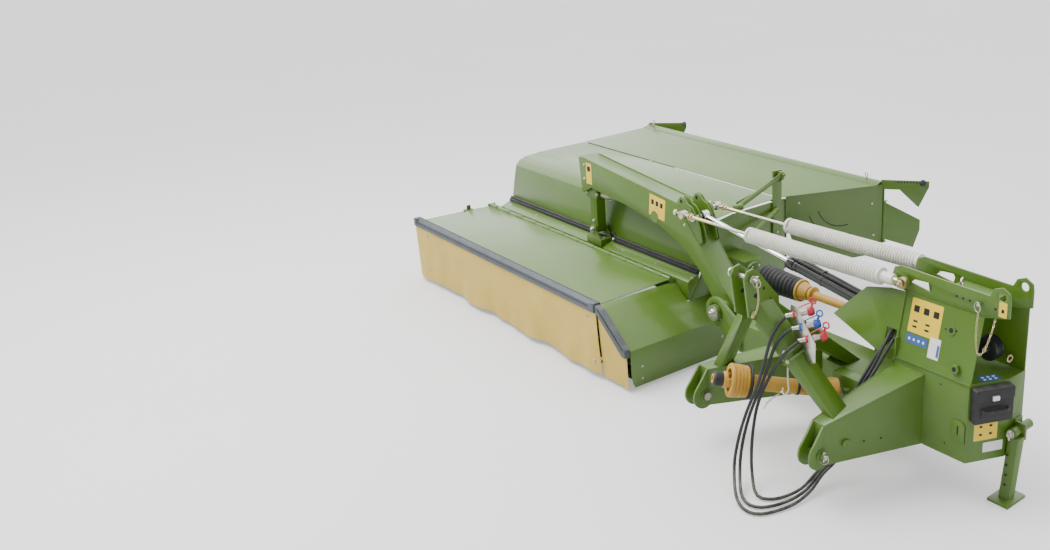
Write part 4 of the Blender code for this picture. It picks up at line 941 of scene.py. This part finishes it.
# stack of cup springs with its nut beside the hanger
stack = [pin(at(-2.318, 0.634, 0.900), at(-2.155, 0.634, 0.900), 0.0085)]
for k in range(9):
    x = -2.292 + 0.0105 * k
    lean = 0.004 if k % 2 else -0.004
    stack.append(lathe([(0.010, lean), (0.0265, -lean), (0.0265, 0.0034 - lean), (0.010, 0.0034 + lean)],
                       at(x, 0.634, 0.900), at(x + 1, 0.634, 0.900), 22))
stack += bolts([(-2.196, 0.634, 0.900, (1, 0, 0))], 1.9)
keep(stack, "cupSprings", "zincPlate", "boom_arm")
keep(bolts([(-2.36, 0.5895, 0.700, facing), (-2.36, 0.6815, 0.700, (0, 1, 0))], 1.1)
     + bolts([(-2.36, 0.5735, 0.640, facing), (-2.36, 0.6950, 0.640, (0, 1, 0))], 1.7), "hangerBolts",
     "zincPlate", "deck")
print("boom detailed")

# relief springs: wound coils with end plugs, threaded rods and forked ends
relief = {"bar": 0.0088, "radius": 0.0382, "pitch": 0.0182, "anchorX": 0.500, "eyeX": -1.240, "eyeZ": 1.012}
for tag, y, anchorZ, begin, stop in (("front", 0.508, 1.042, 0.140, 1.130),
                                     ("rear", 0.790, 1.054, 0.110, 1.090)):
    anchor, eye = Vector((relief["anchorX"], y, anchorZ)), Vector((relief["eyeX"], y, relief["eyeZ"]))
    way = (eye - anchor).normalized()
    turns = int((stop - begin - 0.02) / relief["pitch"])
    clear()
    bpy.ops.mesh.primitive_circle_add(vertices=8, radius=relief["bar"], rotation=(math.pi / 2, 0, 0),
                                      location=(relief["radius"], 0, 0))
    coil = bpy.context.object
    bpy.ops.object.transform_apply(location=True, rotation=True, scale=True)
    screw = coil.modifiers.new("wind", "SCREW")
    screw.steps = screw.render_steps = 24
    screw.iterations = turns
    screw.screw_offset = relief["pitch"]
    bpy.ops.object.modifier_apply(modifier="wind")
    editAll(coil)
    bpy.ops.mesh.select_all(action="DESELECT")
    bpy.ops.mesh.select_mode(type="EDGE")
    bpy.ops.mesh.select_non_manifold()
    bpy.ops.mesh.edge_face_add()
    clear()
    base = at(*(anchor + way * (begin + 0.010)))
    coil.matrix_world = aimed(base, way)
    coil = applied(coil)
    coil = keep(coil, "reliefCoil" + tag.capitalize(), "springPaint", "relief_spring_" + tag, 60)
    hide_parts("spring_" + tag)
    plug = lathe([(0.0120, 0.052), (0.0290, 0.058), (0.0300, 0.066), (0.0300, begin + 0.030),
                  (0.0120, begin + 0.034)], at(*anchor), at(*eye), 28)
    seat = lathe([(0.0290, begin - 0.006), (0.0460, begin - 0.004), (0.0460, begin + 0.006),
                  (0.0290, begin + 0.008)], at(*anchor), at(*eye), 28)
    cap = lathe([(0.0105, stop - 0.016), (0.0440, stop - 0.014), (0.0470, stop - 0.006), (0.0470, stop),
                 (0.0180, stop + 0.006), (0.0180, stop + 0.020), (0.0105, stop + 0.022)], at(*anchor),
                at(*eye), 28)
    keep([plug, seat, cap], "reliefSeats" + tag.capitalize(), "springPaint", "relief_spring_" + tag)
    fork = [lathe([(0.0138, -0.018), (0.0300, -0.018), (0.0310, -0.014), (0.0310, 0.014), (0.0300, 0.018),
                   (0.0138, 0.018)], at(*anchor), at(*(anchor + Vector((0, 1, 0)))), 28),
            pin(at(*(anchor + way * 0.022)), at(*(anchor + way * 0.075)), 0.0175)]
    keep(fork, "reliefEye" + tag.capitalize(), "brassZinc", "relief_spring_" + tag)
    outer = -1 if tag == "front" else 1
    head = anchor + Vector((0, outer * 0.026, 0))
    keep([pin(at(*head), at(*(head + Vector((0, outer * 0.010, 0)))), 0.0210),
          copied(boltMaster, aimed(at(*(head + Vector((0, outer * 0.010, 0)))),
                                   (0, outer, 0)) @ Matrix.Scale(1.3, 4))], "reliefPin" + tag.capitalize(),
         "brassZinc", "headstock")
    # thread on the rod, lock nut and the eye's bush
    root, crest, begun, rise, count = 0.0098, 0.0106, -0.060, 0.0062, 26
    thread = [(root, begun)]
    for k in range(count):
        thread += [(crest, begun + rise * k + 0.0015), (root, begun + rise * (k + 1))]
    thread += [(0.004, begun + rise * count), (0.004, begun)]
    keep([lathe(thread, at(*(eye - way * 0.165)), at(*anchor), 16),
          copied(boltMaster, aimed(at(*(eye - way * 0.085)), -way) @ Matrix.Scale(2.0, 4)),
          lathe([(0.0170, -0.022), (0.0215, -0.022), (0.0215, -0.019), (0.0170, -0.019)], at(*eye),
                at(*(eye + Vector((0, -outer, 0)))), 24)], "reliefThread" + tag.capitalize(), "brassZinc",
         "relief_rod_" + tag)
print("relief springs wound")

# lift cylinder: head with gland nut, hoses clipped along the barrel, bush in the eye
lift = {"foot": (0.620, 0.650, 0.715), "eye": (-1.205, 0.650, 0.985), "barrel": 1.072, "hose": 0.0098,
        "apart": 0.013, "above": 0.044, "clips": (0.24, 0.52, 0.80, 1.00)}
foot, eye = Vector(lift["foot"]), Vector(lift["eye"])
way = (eye - foot).normalized()
over = way.cross(Vector((0, 1, 0))).normalized()
over = over if over.z > 0 else -over
keep([lathe([(0.0170, lift["barrel"] - 0.050), (0.0375, lift["barrel"] - 0.050),
             (0.0390, lift["barrel"] - 0.044), (0.0390, lift["barrel"] - 0.006),
             (0.0360, lift["barrel"] + 0.0006), (0.0190, lift["barrel"] + 0.0006)], at(*foot), at(*eye),
            32), lathe([(0.0345, 0.060), (0.0385, 0.062), (0.0385, 0.078), (0.0345, 0.080)], at(*foot),
                       at(*eye), 32)], "liftHead", "blackPaint", "lift_barrel")
pipes = []
for side in (-1, 1):
    aside = Vector((0, lift["apart"] * side, 0))
    stations = [(0.110, 0.030), (0.130, 0.046)]
    stations += [(0.20 + 0.10 * k, lift["above"] + 0.0015 * (k % 2)) for k in range(9)]
    stations += [(1.036, lift["above"]), (1.050, 0.030)]
    line = [foot + way * along + over * above + aside for along, above in stations]
    pipes.append(wire([at(*q) for q in smoothLine(line, 0.02)], lift["hose"]))
keep(pipes, "liftHoses", "softRubber", "lift_barrel")
clips = []
for along in lift["clips"]:
    place = foot + way * along
    clips.append(lathe([(0.0346, -0.006), (0.0362, -0.006), (0.0362, 0.006), (0.0346, 0.006)], at(*place),
                       at(*(place + way)), 28))
    clips.append(plate(rounded(0.046, 0.024, 0.010), 0.012, flat(at(*(place + over * 0.046)), (0, 1, 0),
                                                                 over), 0.001))
keep(clips, "liftClips", "blackPaint", "lift_barrel")
keep(lathe([(0.0168, -0.024), (0.0240, -0.024), (0.0240, 0.024), (0.0168, 0.024)], at(*eye),
           at(*(eye + Vector((0, 1, 0)))), 28), "liftBush", "blackPaint", "lift_rod")

# mast: top link pin with its chain, bolts, weld beads, clamp band on the near leg
topLink = {"y": -0.112, "z": 1.098}
topPins = [pin(at(left, topLink["y"], topLink["z"]), at(right, topLink["y"], topLink["z"]), radius)
           for left, right, radius in ((-0.085, 0.100, 0.0125), (0.056, 0.066, 0.020),
                                       (-0.098, -0.086, 0.024))]
keep(topPins + lynch(0.090, topLink["y"], topLink["z"], (1, 0, 0), 0.022), "topLinkPin", "zincPlate",
     "headstock")
keep(chain([(0.096, -0.112, 1.070), (0.108, -0.118, 1.000), (0.098, -0.126, 0.940), (0.072, -0.130, 0.905),
            (0.062, -0.110, 0.925)]), "topLinkChain", "brassZinc", "headstock")
mastFace = 0.0545
mastBolts = [(mastFace * side, y, z, (side, 0, 0)) for side in (1, -1) for y,
             z in ((-0.020, 0.880), (-0.100, 0.915))]
keep(bolts(mastBolts, 1.35), "mastBolts", "brassZinc", "headstock")
# near-black discs in the mast's holes paint the shade inside them
mastHoleShade = []
for y, z, r in ((-0.085, 1.005, 0.0125), (-0.030, 1.030, 0.0080), (0.020, 0.960, 0.0080),
                (-0.010, 0.930, 0.0060)):
    for x in (0.0420, -0.0545):
        mastHoleShade.append(disc(at(x, y, z), (1, 0, 0), r, 0.0126, 18))
keep(mastHoleShade, "mastHoleShade", "darkHole", "headstock")
labelOn(0.0550, -0.065, 0.850, 0.030, 0.026, (0, 1, 0), upward, "yellowLabel", "mastLabel", "headstock")
legTop, legLow = Vector((0.048, -0.028, 0.905)), Vector((0.451, 0.078, 0.470))
legWay = (legLow - legTop).normalized()
band = []
for share in (0.40, 0.455):
    centre = legTop + (legLow - legTop) * share
    band.append(plate(rounded(0.112, 0.118, 0.012), 0.012, aimed(at(*centre), legWay), 0.002))
keep(band, "legBands", "greenPaint", "headstock")
centre = legTop + (legLow - legTop) * 0.43
keep(bolts([(centre.x - 0.012, centre.y - 0.060, centre.z + 0.020, (0, -1, 0)),
            (centre.x + 0.012, centre.y - 0.060, centre.z - 0.022, (0, -1, 0))], 0.9), "legBandBolts",
     "zincPlate", "headstock")

# lower link clevises: bosses, lynch pins, and near-black discs that paint the shade in the plain holes of the
# arms
armSide = Vector((0.907, -0.420, 0))
clevis = {"y": -0.047, "z": 0.284, "bore": 0.0145, "reach": 0.010,
          "sides": ((0.390, 0.474, 1), (-0.474, -0.390, -1))}
bossOutline = [(clevis["bore"], 0), (0.030, 0), (0.032, 0.002), (0.032, 0.005), (0.030, 0.007),
               (clevis["bore"], 0.007)]
bosses, armHoleShades, pins = [], [], []
for x0, x1, outward in clevis["sides"]:
    for x in (x0 - 0.0075, x1 + 0.0005):
        place = at(x, clevis["y"], clevis["z"])
        bosses.append(lathe(bossOutline, place, place + Vector(level), 26))
    outer = (x1 if outward > 0 else x0) + outward * clevis["reach"]
    inner = (x0 if outward > 0 else x1) - outward * clevis["reach"]
    pins += lynch(outer + outward * clevis["reach"], clevis["y"], clevis["z"], level, 0.026)
    for begin, stop, radius in ((outer, outer + outward * 0.030, 0.0140),
                                (inner, inner - outward * 0.016, 0.022)):
        pins.append(pin(at(begin, clevis["y"], clevis["z"]), at(stop, clevis["y"], clevis["z"]), radius))
nearBoss = at(0.5225, 0.083, 0.319)
bosses.append(lathe([(0, -0.004), (0.022, -0.004), (0.022, 0.010), (0.010, 0.012), (0, 0.006)], nearBoss,
                    nearBoss + armSide, 24))
bosses.append(lathe([(0, -0.010), (0.020, -0.010), (0.020, 0.008), (0.009, 0.010), (0, 0.004)],
                    at(-0.372, 0.100, 0.262), at(-0.372, 0.100, 0.262) + Vector((0.93, 0.37, 0)), 24))
# the holes of the near arm: near-black discs of painted shade
for x, y, z in ((0.5625, 0.170, 0.313), (0.6015, 0.255, 0.313)):
    armHoleShades.append(disc(at(x, y, z), armSide, 0.0052, 0.0012, 14, -0.004))
keep(bosses, "clevisBosses", "greenPaint", "headstock")
keep(pins, "clevisPins", "zincPlate", "headstock")
keep(bolts([(-0.3895, 0.004, 0.400, (1, 0, 0)), (0.3895, 0.020, 0.400, (-1, 0, 0))], 1.2), "armBolts",
     "zincPlate", "headstock")
print("headstock detailed")

# drive shaft guard: ribbed cone, tube and a rubber ring, forks and cross inside, hook and chain
ptoStart, ptoEnd = Vector((-0.146, -0.200, 0.525)), Vector((0.232, 0.4197, 0.372))
ptoWay = (ptoEnd - ptoStart).normalized()
coneRibs = {"count": 5, "first": 0.0900, "pitch": 0.019, "radius": 0.0880, "taper": 0.0014, "deep": 0.0045}
cone = [(0.0600, 0.0850), (0.0850, 0.0850)]
for k in range(coneRibs["count"]):
    t = coneRibs["first"] + coneRibs["pitch"] * k
    r = coneRibs["radius"] - coneRibs["taper"] * k
    cone += [(r, t), (r, t + 0.012), (r - coneRibs["deep"], t + 0.0145), (r - coneRibs["deep"], t + 0.0175)]
cone += [(0.0740, 0.1920), (0.0500, 0.2120), (0.0405, 0.2160), (0.0405, 0.5500), (0.0480, 0.5700),
         (0.0680, 0.6380), (0.0690, 0.6700), (0.0640, 0.6700), (0.0600, 0.6400), (0.0380, 0.5700),
         (0.0240, 0.5600), (0.0240, 0.2200), (0.0450, 0.2060), (0.0640, 0.1900)]
guardPiece = keep(lathe(cone, at(*ptoStart), at(*ptoEnd), 48), "shaftGuard", "guardPlastic", "headstock", 30)
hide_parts("pto_guard")
keep([lathe([(0.0760, 0.1830), (0.0900, 0.1840), (0.0920, 0.1900), (0.0900, 0.1960), (0.0700, 0.1970)],
            at(*ptoStart), at(*ptoEnd), 44), lathe([(0.0402, 0.4500), (0.0440, 0.4510), (0.0440, 0.4640),
                                                    (0.0402, 0.4650)], at(*ptoStart), at(*ptoEnd), 32)],
     "guardRings", "softRubber", "headstock")
collarLine = [(0.0200, 0.000), (0.0330, 0.000), (0.0370, 0.004)]
for k in range(4):
    collarLine += [(0.0380, 0.008 + 0.010 * k), (0.0380, 0.013 + 0.010 * k), (0.0352, 0.0145 + 0.010 * k),
                   (0.0352, 0.0165 + 0.010 * k)]
collarLine += [(0.0360, 0.052), (0.0200, 0.052)]
keep(lathe(collarLine, at(*ptoStart), at(*ptoEnd), 36), "yokeCollar", "softRubber", "pto_shaft")
sideWay = ptoWay.cross(Vector((0, 0, 1))).normalized()
topWay = sideWay.cross(ptoWay).normalized()
yoke = [lathe([(0.0150, -0.004), (0.0235, -0.004), (0.0250, 0.000), (0.0250, 0.060), (0.0150, 0.060)],
              at(*ptoStart), at(*ptoEnd), 28), lathe([(0, 0.052), (0.0400, 0.052), (0.0430, 0.058),
                                                      (0.0430, 0.072), (0.0340, 0.080), (0, 0.082)],
                                                     at(*ptoStart), at(*ptoEnd), 28),
        lathe([(0, 0.140), (0.0340, 0.142), (0.0400, 0.150), (0.0300, 0.165), (0.0200, 0.175),
               (0.0200, 0.6950), (0, 0.6950)], at(*ptoStart), at(*ptoEnd), 24)]
for spin in (1, -1):
    yoke.append(plate([(0.066, -0.024), (0.110, -0.022), (0.126, -0.012), (0.130, 0.0), (0.126, 0.012),
                       (0.110, 0.022), (0.066, 0.024)], 0.014,
                      flat(at(*(ptoStart + sideWay * 0.036 * spin)), ptoWay, topWay), 0.003))
    yoke.append(plate([(0.156, -0.024), (0.116, -0.022), (0.098, -0.012), (0.094, 0.0), (0.098, 0.012),
                       (0.116, 0.022), (0.156, 0.024)], 0.014,
                      flat(at(*(ptoStart + topWay * 0.036 * spin)), ptoWay, sideWay), 0.003))
cross = ptoStart + ptoWay * 0.112
yoke.append(pin(at(*(cross - sideWay * 0.048)), at(*(cross + sideWay * 0.048)), 0.0135))
yoke.append(pin(at(*(cross - topWay * 0.048)), at(*(cross + topWay * 0.048)), 0.0135))
yokePiece = keep(yoke, "shaftYoke", "guardPlastic", "pto_shaft")
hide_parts("pto_yoke")
# near-black disc in the yoke's bore: painted shade
keep(lathe([(0, 0.003), (0.0150, 0.003), (0.0150, 0.010), (0, 0.010)], at(*ptoStart), at(*ptoEnd), 20),
     "yokeBoreShade", "darkHole", "pto_shaft")
hook = [(0.115, 0.100, 0.640), (0.118, 0.080, 0.590), (0.140, 0.060, 0.520), (0.150, 0.055, 0.480),
        (0.135, 0.045, 0.450), (0.112, 0.050, 0.452), (0.100, 0.062, 0.470)]
keep(wire([at(*q) for q in smoothLine(hook, 0.008)], 0.0042), "guardHook", "springPaint", "headstock")
keep(chain([(0.105, 0.052, 0.455), (0.080, 0.020, 0.425), (0.060, -0.010, 0.395), (0.045, -0.020, 0.360)]),
     "guardChain", "brassZinc", "headstock")

# bellows of the deck shaft and the flange it bolts to
folds = {"count": 10, "from": -0.6405, "to": -0.9695, "near": 0.0745, "far": 0.0865}
line = [(0.0400, 0.0)]
step = (folds["from"] - folds["to"]) / folds["count"]
for k in range(folds["count"]):
    base = folds["near"] + (folds["far"] - folds["near"]) * k / folds["count"]
    line += [(base - 0.0150, step * k + 0.001), (base - 0.0020, step * k + step * 0.32),
             (base, step * k + step * 0.5), (base - 0.0020, step * k + step * 0.68)]
line += [(0.0720, folds["from"] - folds["to"]), (0.0400, folds["from"] - folds["to"])]
bellows = keep(lathe(line, at(folds["from"], shaftY, shaftZ), at(folds["to"], shaftY, shaftZ), 40),
               "shaftBellows", "softRubber", "deck_shaft", 50)
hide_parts("shaft_bellows")
keep([lathe([(0.0268, 0), (0.044, 0), (0.050, 0.006), (0.050, 0.020), (0.0268, 0.022)],
            at(-0.545, shaftY, shaftZ), at(-0.500, shaftY, shaftZ), 32),
      lathe([(0.066, 0), (0.0715, 0.003), (0.0715, 0.017), (0.066, 0.020)], at(-0.6400, shaftY, shaftZ),
            at(-0.600, shaftY, shaftZ), 36)], "shaftCollars", "guardPlastic", "deck_shaft")
ribbed = [(0.0640, 0.0)]
for k in range(6):
    ribbed += [(0.0672, 0.003 + 0.016 * k), (0.0672, 0.010 + 0.016 * k), (0.0642, 0.012 + 0.016 * k),
               (0.0642, 0.016 + 0.016 * k)]
ribbed += [(0.0640, 0.100)]
keep(lathe(ribbed + [(0.0600, 0.100), (0.0600, 0.0)], at(0.029, shaftY, shaftZ), at(-0.080, shaftY, shaftZ),
           36), "shaftRibs", "guardPlastic", "headstock")
keep(bolts(circled(0.0795, 0.105, (0.6, 2.2, 3.8, 5.4), (-1, 0, 0))
           + [(0.0795, 0.860, 0.380, (-1, 0, 0)), (0.0795, 0.990, 0.380, (-1, 0, 0))], 1.1), "caseBolts",
     "zincPlate", "headstock")
print("shafts detailed")

# drive body: labels, bosses, latch box, pulley in the side opening
inclined = (0, 0.083, 0.361)
normalOut = Vector((0, -0.361, 0.083)).normalized()


def onSlope(x, z, out=0.0):
    spot = Vector((x, 0.460 + 0.083 * (z - 0.624) / 0.361, z)) + normalOut * out
    return (spot.x, spot.y, spot.z)


marked((("slopeLabel", "yellowLabel", 0.640, 0.885, 0.0007, 0.190, 0.175),
        ("slopePrint", "darkHole", 0.640, 0.920, 0.0009, 0.180, 0.060, 1, 3, 0.55),
        ("slopePrintLow", "darkHole", 0.622, 0.845, 0.0009, 0.150, 0.056, 2, 2, 0.35),
        ("slopeBlue", "blueLabel", 0.610, 0.768, 0.0007, 0.130, 0.045),
        ("slopeBluePrint", "whiteLabel", 0.610, 0.768, 0.0009, 0.116, 0.032, 1, 4, 0.4),
        ("slopeWhite", "whiteLabel", 0.722, 0.760, 0.0010, 0.066, 0.105),
        ("slopeWhiteStripe", "blueLabel", 0.745, 0.752, 0.0016, 0.014, 0.060)), onSlope, level, inclined,
       "headstock")
spot = at(*onSlope(0.800, 0.875))
keep([collar(spot, normalOut, 0.0130, 0.024, 0.004, 26)], "slopeBoss", "greenPaint", "headstock")
# near-black discs in the bores and holes of the drive body paint the shade inside them
bodyHoleShade = [disc(spot, normalOut, 0.0132, 0.0042, 22)]
for place, way in ((onSlope(0.766, 0.872), normalOut), (onSlope(0.828, 0.880), normalOut),
                   ((0.795, 0.4596, 0.607), facing), ((0.836, 0.4596, 0.303), facing)):
    bodyHoleShade.append(disc(at(*place), way, 0.0050, 0.0008, 12))
for x in (0.800, 0.838, 0.876, 1.020):
    spot = at(x, 0.5432, 1.046 - 0.012 * (x - 0.85))
    bodyHoleShade.append(disc(spot, at(x, 0.4, 1.046) - spot, 0.0062, 0.0008, 14, -0.006))
keep(bodyHoleShade + armHoleShades, "bodyHoleShade", "darkHole", "headstock")
# hexagon boss, the lug with its slot, and a welded edge strip; the socket of the boss and the slot of the lug
# are near-black pieces of painted shade
spot = at(*onSlope(0.866, 0.706))
lugOutline = [(-0.040, -0.055), (0.040, -0.055), (0.040, 0.038), (0.024, 0.055), (-0.024, 0.055),
              (-0.040, 0.038)]
hexOutline = [(0.0125, 0), (0.026, 0), (0.026, 0.016), (0.0225, 0.020), (0.0125, 0.020)]
keep([lathe(hexOutline, spot, spot + normalOut, 6), plate(lugOutline, 0.007,
                                                          flat(at(0.912, 0.4565, 0.400), level, upward),
                                                          0.002),
      block(at(0.655, 0.4530, 0.245), at(0.668, 0.4605, 0.618), 0.002)], "bodyBosses", "greenPaint",
     "headstock")
# dark plate in the lug's slot and dark hexagon in the boss's socket: painted shade
slotShadePlate = plate(rounded(0.007, 0.048, 0.003), 0.009, flat(at(0.912, 0.4560, 0.405), level, upward), 0)
keep([disc(spot, normalOut, 0.0126, 0.021, 6), slotShadePlate], "bodySlotShade", "darkHole", "headstock")
flank = Vector((0.092, 0.200, 0)).normalized()
flankOut = Vector((flank.y, -flank.x, 0))


def onFlank(along, z, out=0.0):
    spot = Vector((0.960, 0.460, z)) + flank * along + flankOut * out
    return (spot.x, spot.y, spot.z)


def flankPlate(along, z, out, wide, tall, corner, thick, edge):
    return plate(rounded(wide, tall, corner), thick, flat(at(*onFlank(along, z, out)), flank, upward), edge)


def onShelf(x, y, out):
    return (x, y, label["shelf"] + out)


def onRail(x, z, out):
    return (x, label["railFace"] - out, z)


gripLine = [onFlank(0.045, 0.540, 0.048), onFlank(0.055, 0.536, 0.066), onFlank(0.090, 0.534, 0.072),
            onFlank(0.145, 0.534, 0.072), onFlank(0.182, 0.536, 0.066), onFlank(0.192, 0.540, 0.048)]
keep([flankPlate(0.116, 0.556, 0.0240, 0.212, 0.178, 0.010, 0.046, 0.005),
      flankPlate(0.116, 0.618, 0.0260, 0.216, 0.062, 0.008, 0.052, 0.005),
      wire([at(*q) for q in smoothLine(gripLine, 0.01)], 0.0075),
      flankPlate(0.116, 0.520, 0.0490, 0.150, 0.060, 0.02, 0.008, 0.003)], "toolBox", "toolPlastic",
     "headstock")
keep(flankPlate(0.116, 0.600, 0.0560, 0.036, 0.022, 0.003, 0.012, 0.002), "toolBoxLatch", "whiteLabel",
     "headstock")
marked((("flankLabel", "yellowLabel", 0.105, 0.405, 0.0008, 0.130, 0.105),
        ("flankPrint", "darkHole", 0.105, 0.405, 0.0010, 0.110, 0.085, 2, 2, 0.28),
        ("flankPlate", "whiteLabel", 0.150, 0.310, 0.0008, 0.110, 0.052)), onFlank, flank, upward,
       "headstock")
marked((("shelfLabel", "blueLabel", 0.975, 0.600, 0.0007, 0.105, 0.060),
        ("shelfPrint", "whiteLabel", 0.975, 0.600, 0.0009, 0.090, 0.045, 2, 3, 0.5)), onShelf, flank,
       flankOut, "headstock")
marked((("railLabel", "yellowLabel", 1.060, 1.052, 0.0007, 0.044, 0.075),
        ("railPrint", "darkHole", 1.060, 1.045, 0.0009, 0.024, 0.030, 1, 1, 0.6)), onRail, level, upward,
       "headstock")
# belt pulley in the side opening
pulley = {"x": 0.900, "z": 0.760, "crown": 0.064, "root": 0.050, "edge": 0.058, "pitch": 0.012, "grooves": 4}
grooves = [(0, 0), (pulley["edge"], 0)]
for k in range(pulley["grooves"]):
    grooves += [(pulley["crown"], 0.004 + pulley["pitch"] * k), (pulley["root"], 0.010 + pulley["pitch"] * k)]
grooves += [(pulley["crown"], 0.052), (pulley["edge"], 0.056), (0, 0.056)]
keep([lathe(grooves, at(pulley["x"], 0.6800, pulley["z"]), at(pulley["x"], 0.800, pulley["z"]), 36),
      pin(at(pulley["x"], 0.660, pulley["z"]), at(pulley["x"], 0.791, pulley["z"]), 0.018)], "beltPulley",
     "blackPaint", "headstock")
keep([collar(at(0.985, 0.745, 0.720), (0.065, -0.015, 0), 0.0130, 0.020, 0.010, 20)]
     + bolts([(0.900, 0.660, 0.760, facing), (1.0440, 0.730, 0.520, (-1, 0, 0))], 1.3), "pulleyBolts",
     "brassZinc", "headstock")
# locking pin with ring and chain, and the lifting eye of the rail
keep([pin(at(0.940, 0.515, 1.050), at(0.940, 0.5438, 1.050), 0.0095),
      ring(at(0.940, 0.512, 1.040), (0.4, 1, 0), 0.024, 0.0026),
      ring(at(0.760, 0.640, 1.082), (1, 0.4, 0), 0.021, 0.0055),
      pin(at(0.760, 0.640, 1.049), at(0.760, 0.640, 1.064), 0.008),
      pin(at(0.504, 0.484, 1.042), at(0.504, 0.490, 1.042), 0.010)], "railPins", "zincPlate", "headstock")
keep(chain([(0.950, 0.508, 1.020), (0.952, 0.498, 0.950), (0.962, 0.486, 0.870), (0.985, 0.478, 0.822),
            (1.012, 0.484, 0.850), (1.026, 0.510, 0.930), (1.024, 0.540, 0.990)]), "railChain", "brassZinc",
     "headstock")
# weld seams of the body
seamEnds = (((0.500, 0.4592, 0.250), (0.500, 0.4592, 0.620)),
            ((0.960, 0.4592, 0.245), (0.960, 0.4592, 0.655)),
            ((0.474, -0.0195, 0.432), (0.6955, 0.459, 0.624)),
            ((0.390, -0.0195, 0.432), (0.500, 0.459, 0.624)),
            ((0.500, 0.4585, 0.6240), (0.696, 0.4585, 0.6240)))
seams = [straight(first, last, 0.02, 0.0030) for first, last in seamEnds]
keep(seams, "bodyWelds", "greenPaint", "headstock")
# stand: pivot pin with its clip, cross tube and the row of holes, each a near-black disc of painted shade
stand = {"x": 1.080, "z": 0.372, "armHoleShades": 4, "lowest": 0.090, "pitch": 0.055}
keep([pin(at(stand["x"], 0.640, stand["z"]), at(stand["x"], 0.808, stand["z"]), 0.0135),
      collar(at(stand["x"], 0.6600, stand["z"]), facing, 0.014, 0.021, 0.003, 20)]
     + lynch(stand["x"], 0.648, stand["z"], (0, 1, 0), 0.018), "standPin", "zincPlate", "headstock")
keep(collar(at(stand["x"], 0.7420, stand["z"]), (0, 1, 0), 0.0150, 0.0235, 0.085, 26), "standTube",
     "greenPaint", "headstock")
# holes of the stand leg: thin near-black discs of painted shade
standHoleShade = [disc(at(1.070, 0.6556, stand["lowest"] + stand["pitch"] * k), facing, 0.0065, 0.0010)
              for k in range(stand["armHoleShades"])]
keep(standHoleShade, "standHoleShade", "darkHole", "stand")
keep(bolts([(-0.906, 0.4498, 0.467, facing)], 3.0), "foldNut", "zincPlate", "headstock")
keep(bolts([(-0.906, 0.8222, 0.467, (0, 1, 0))], 3.0), "foldNutRear", "zincPlate", "headstock")
bpy.data.objects.remove(boltMaster, do_unlink=True)
print("drive body detailed")

# solids that keep their shape take a finish of their own
plainFinish = {
    "edge_bead": "beadRubber", "corner_bead": "beadRubber", "cylinder_barrel": "blackPaint",
    "cylinder_rod": "chromeRod", "pivot_pin": "zincPlate", "spring_rod_front": "zincPlate",
    "spring_rod_rear": "zincPlate", "shaft_inner": "guardPlastic", "shaft_outer": "guardPlastic",
    "conditioner_rotor": "wornSteel",
}
plainFinish.update({"rotor_%d" % k: "wornSteel" for k in range(1, 7)})
for nodeName, look in plainFinish.items():
    solid = frame["nodes"][nodeName]
    for place in solid.material_slots:
        place.material = finishes[look]
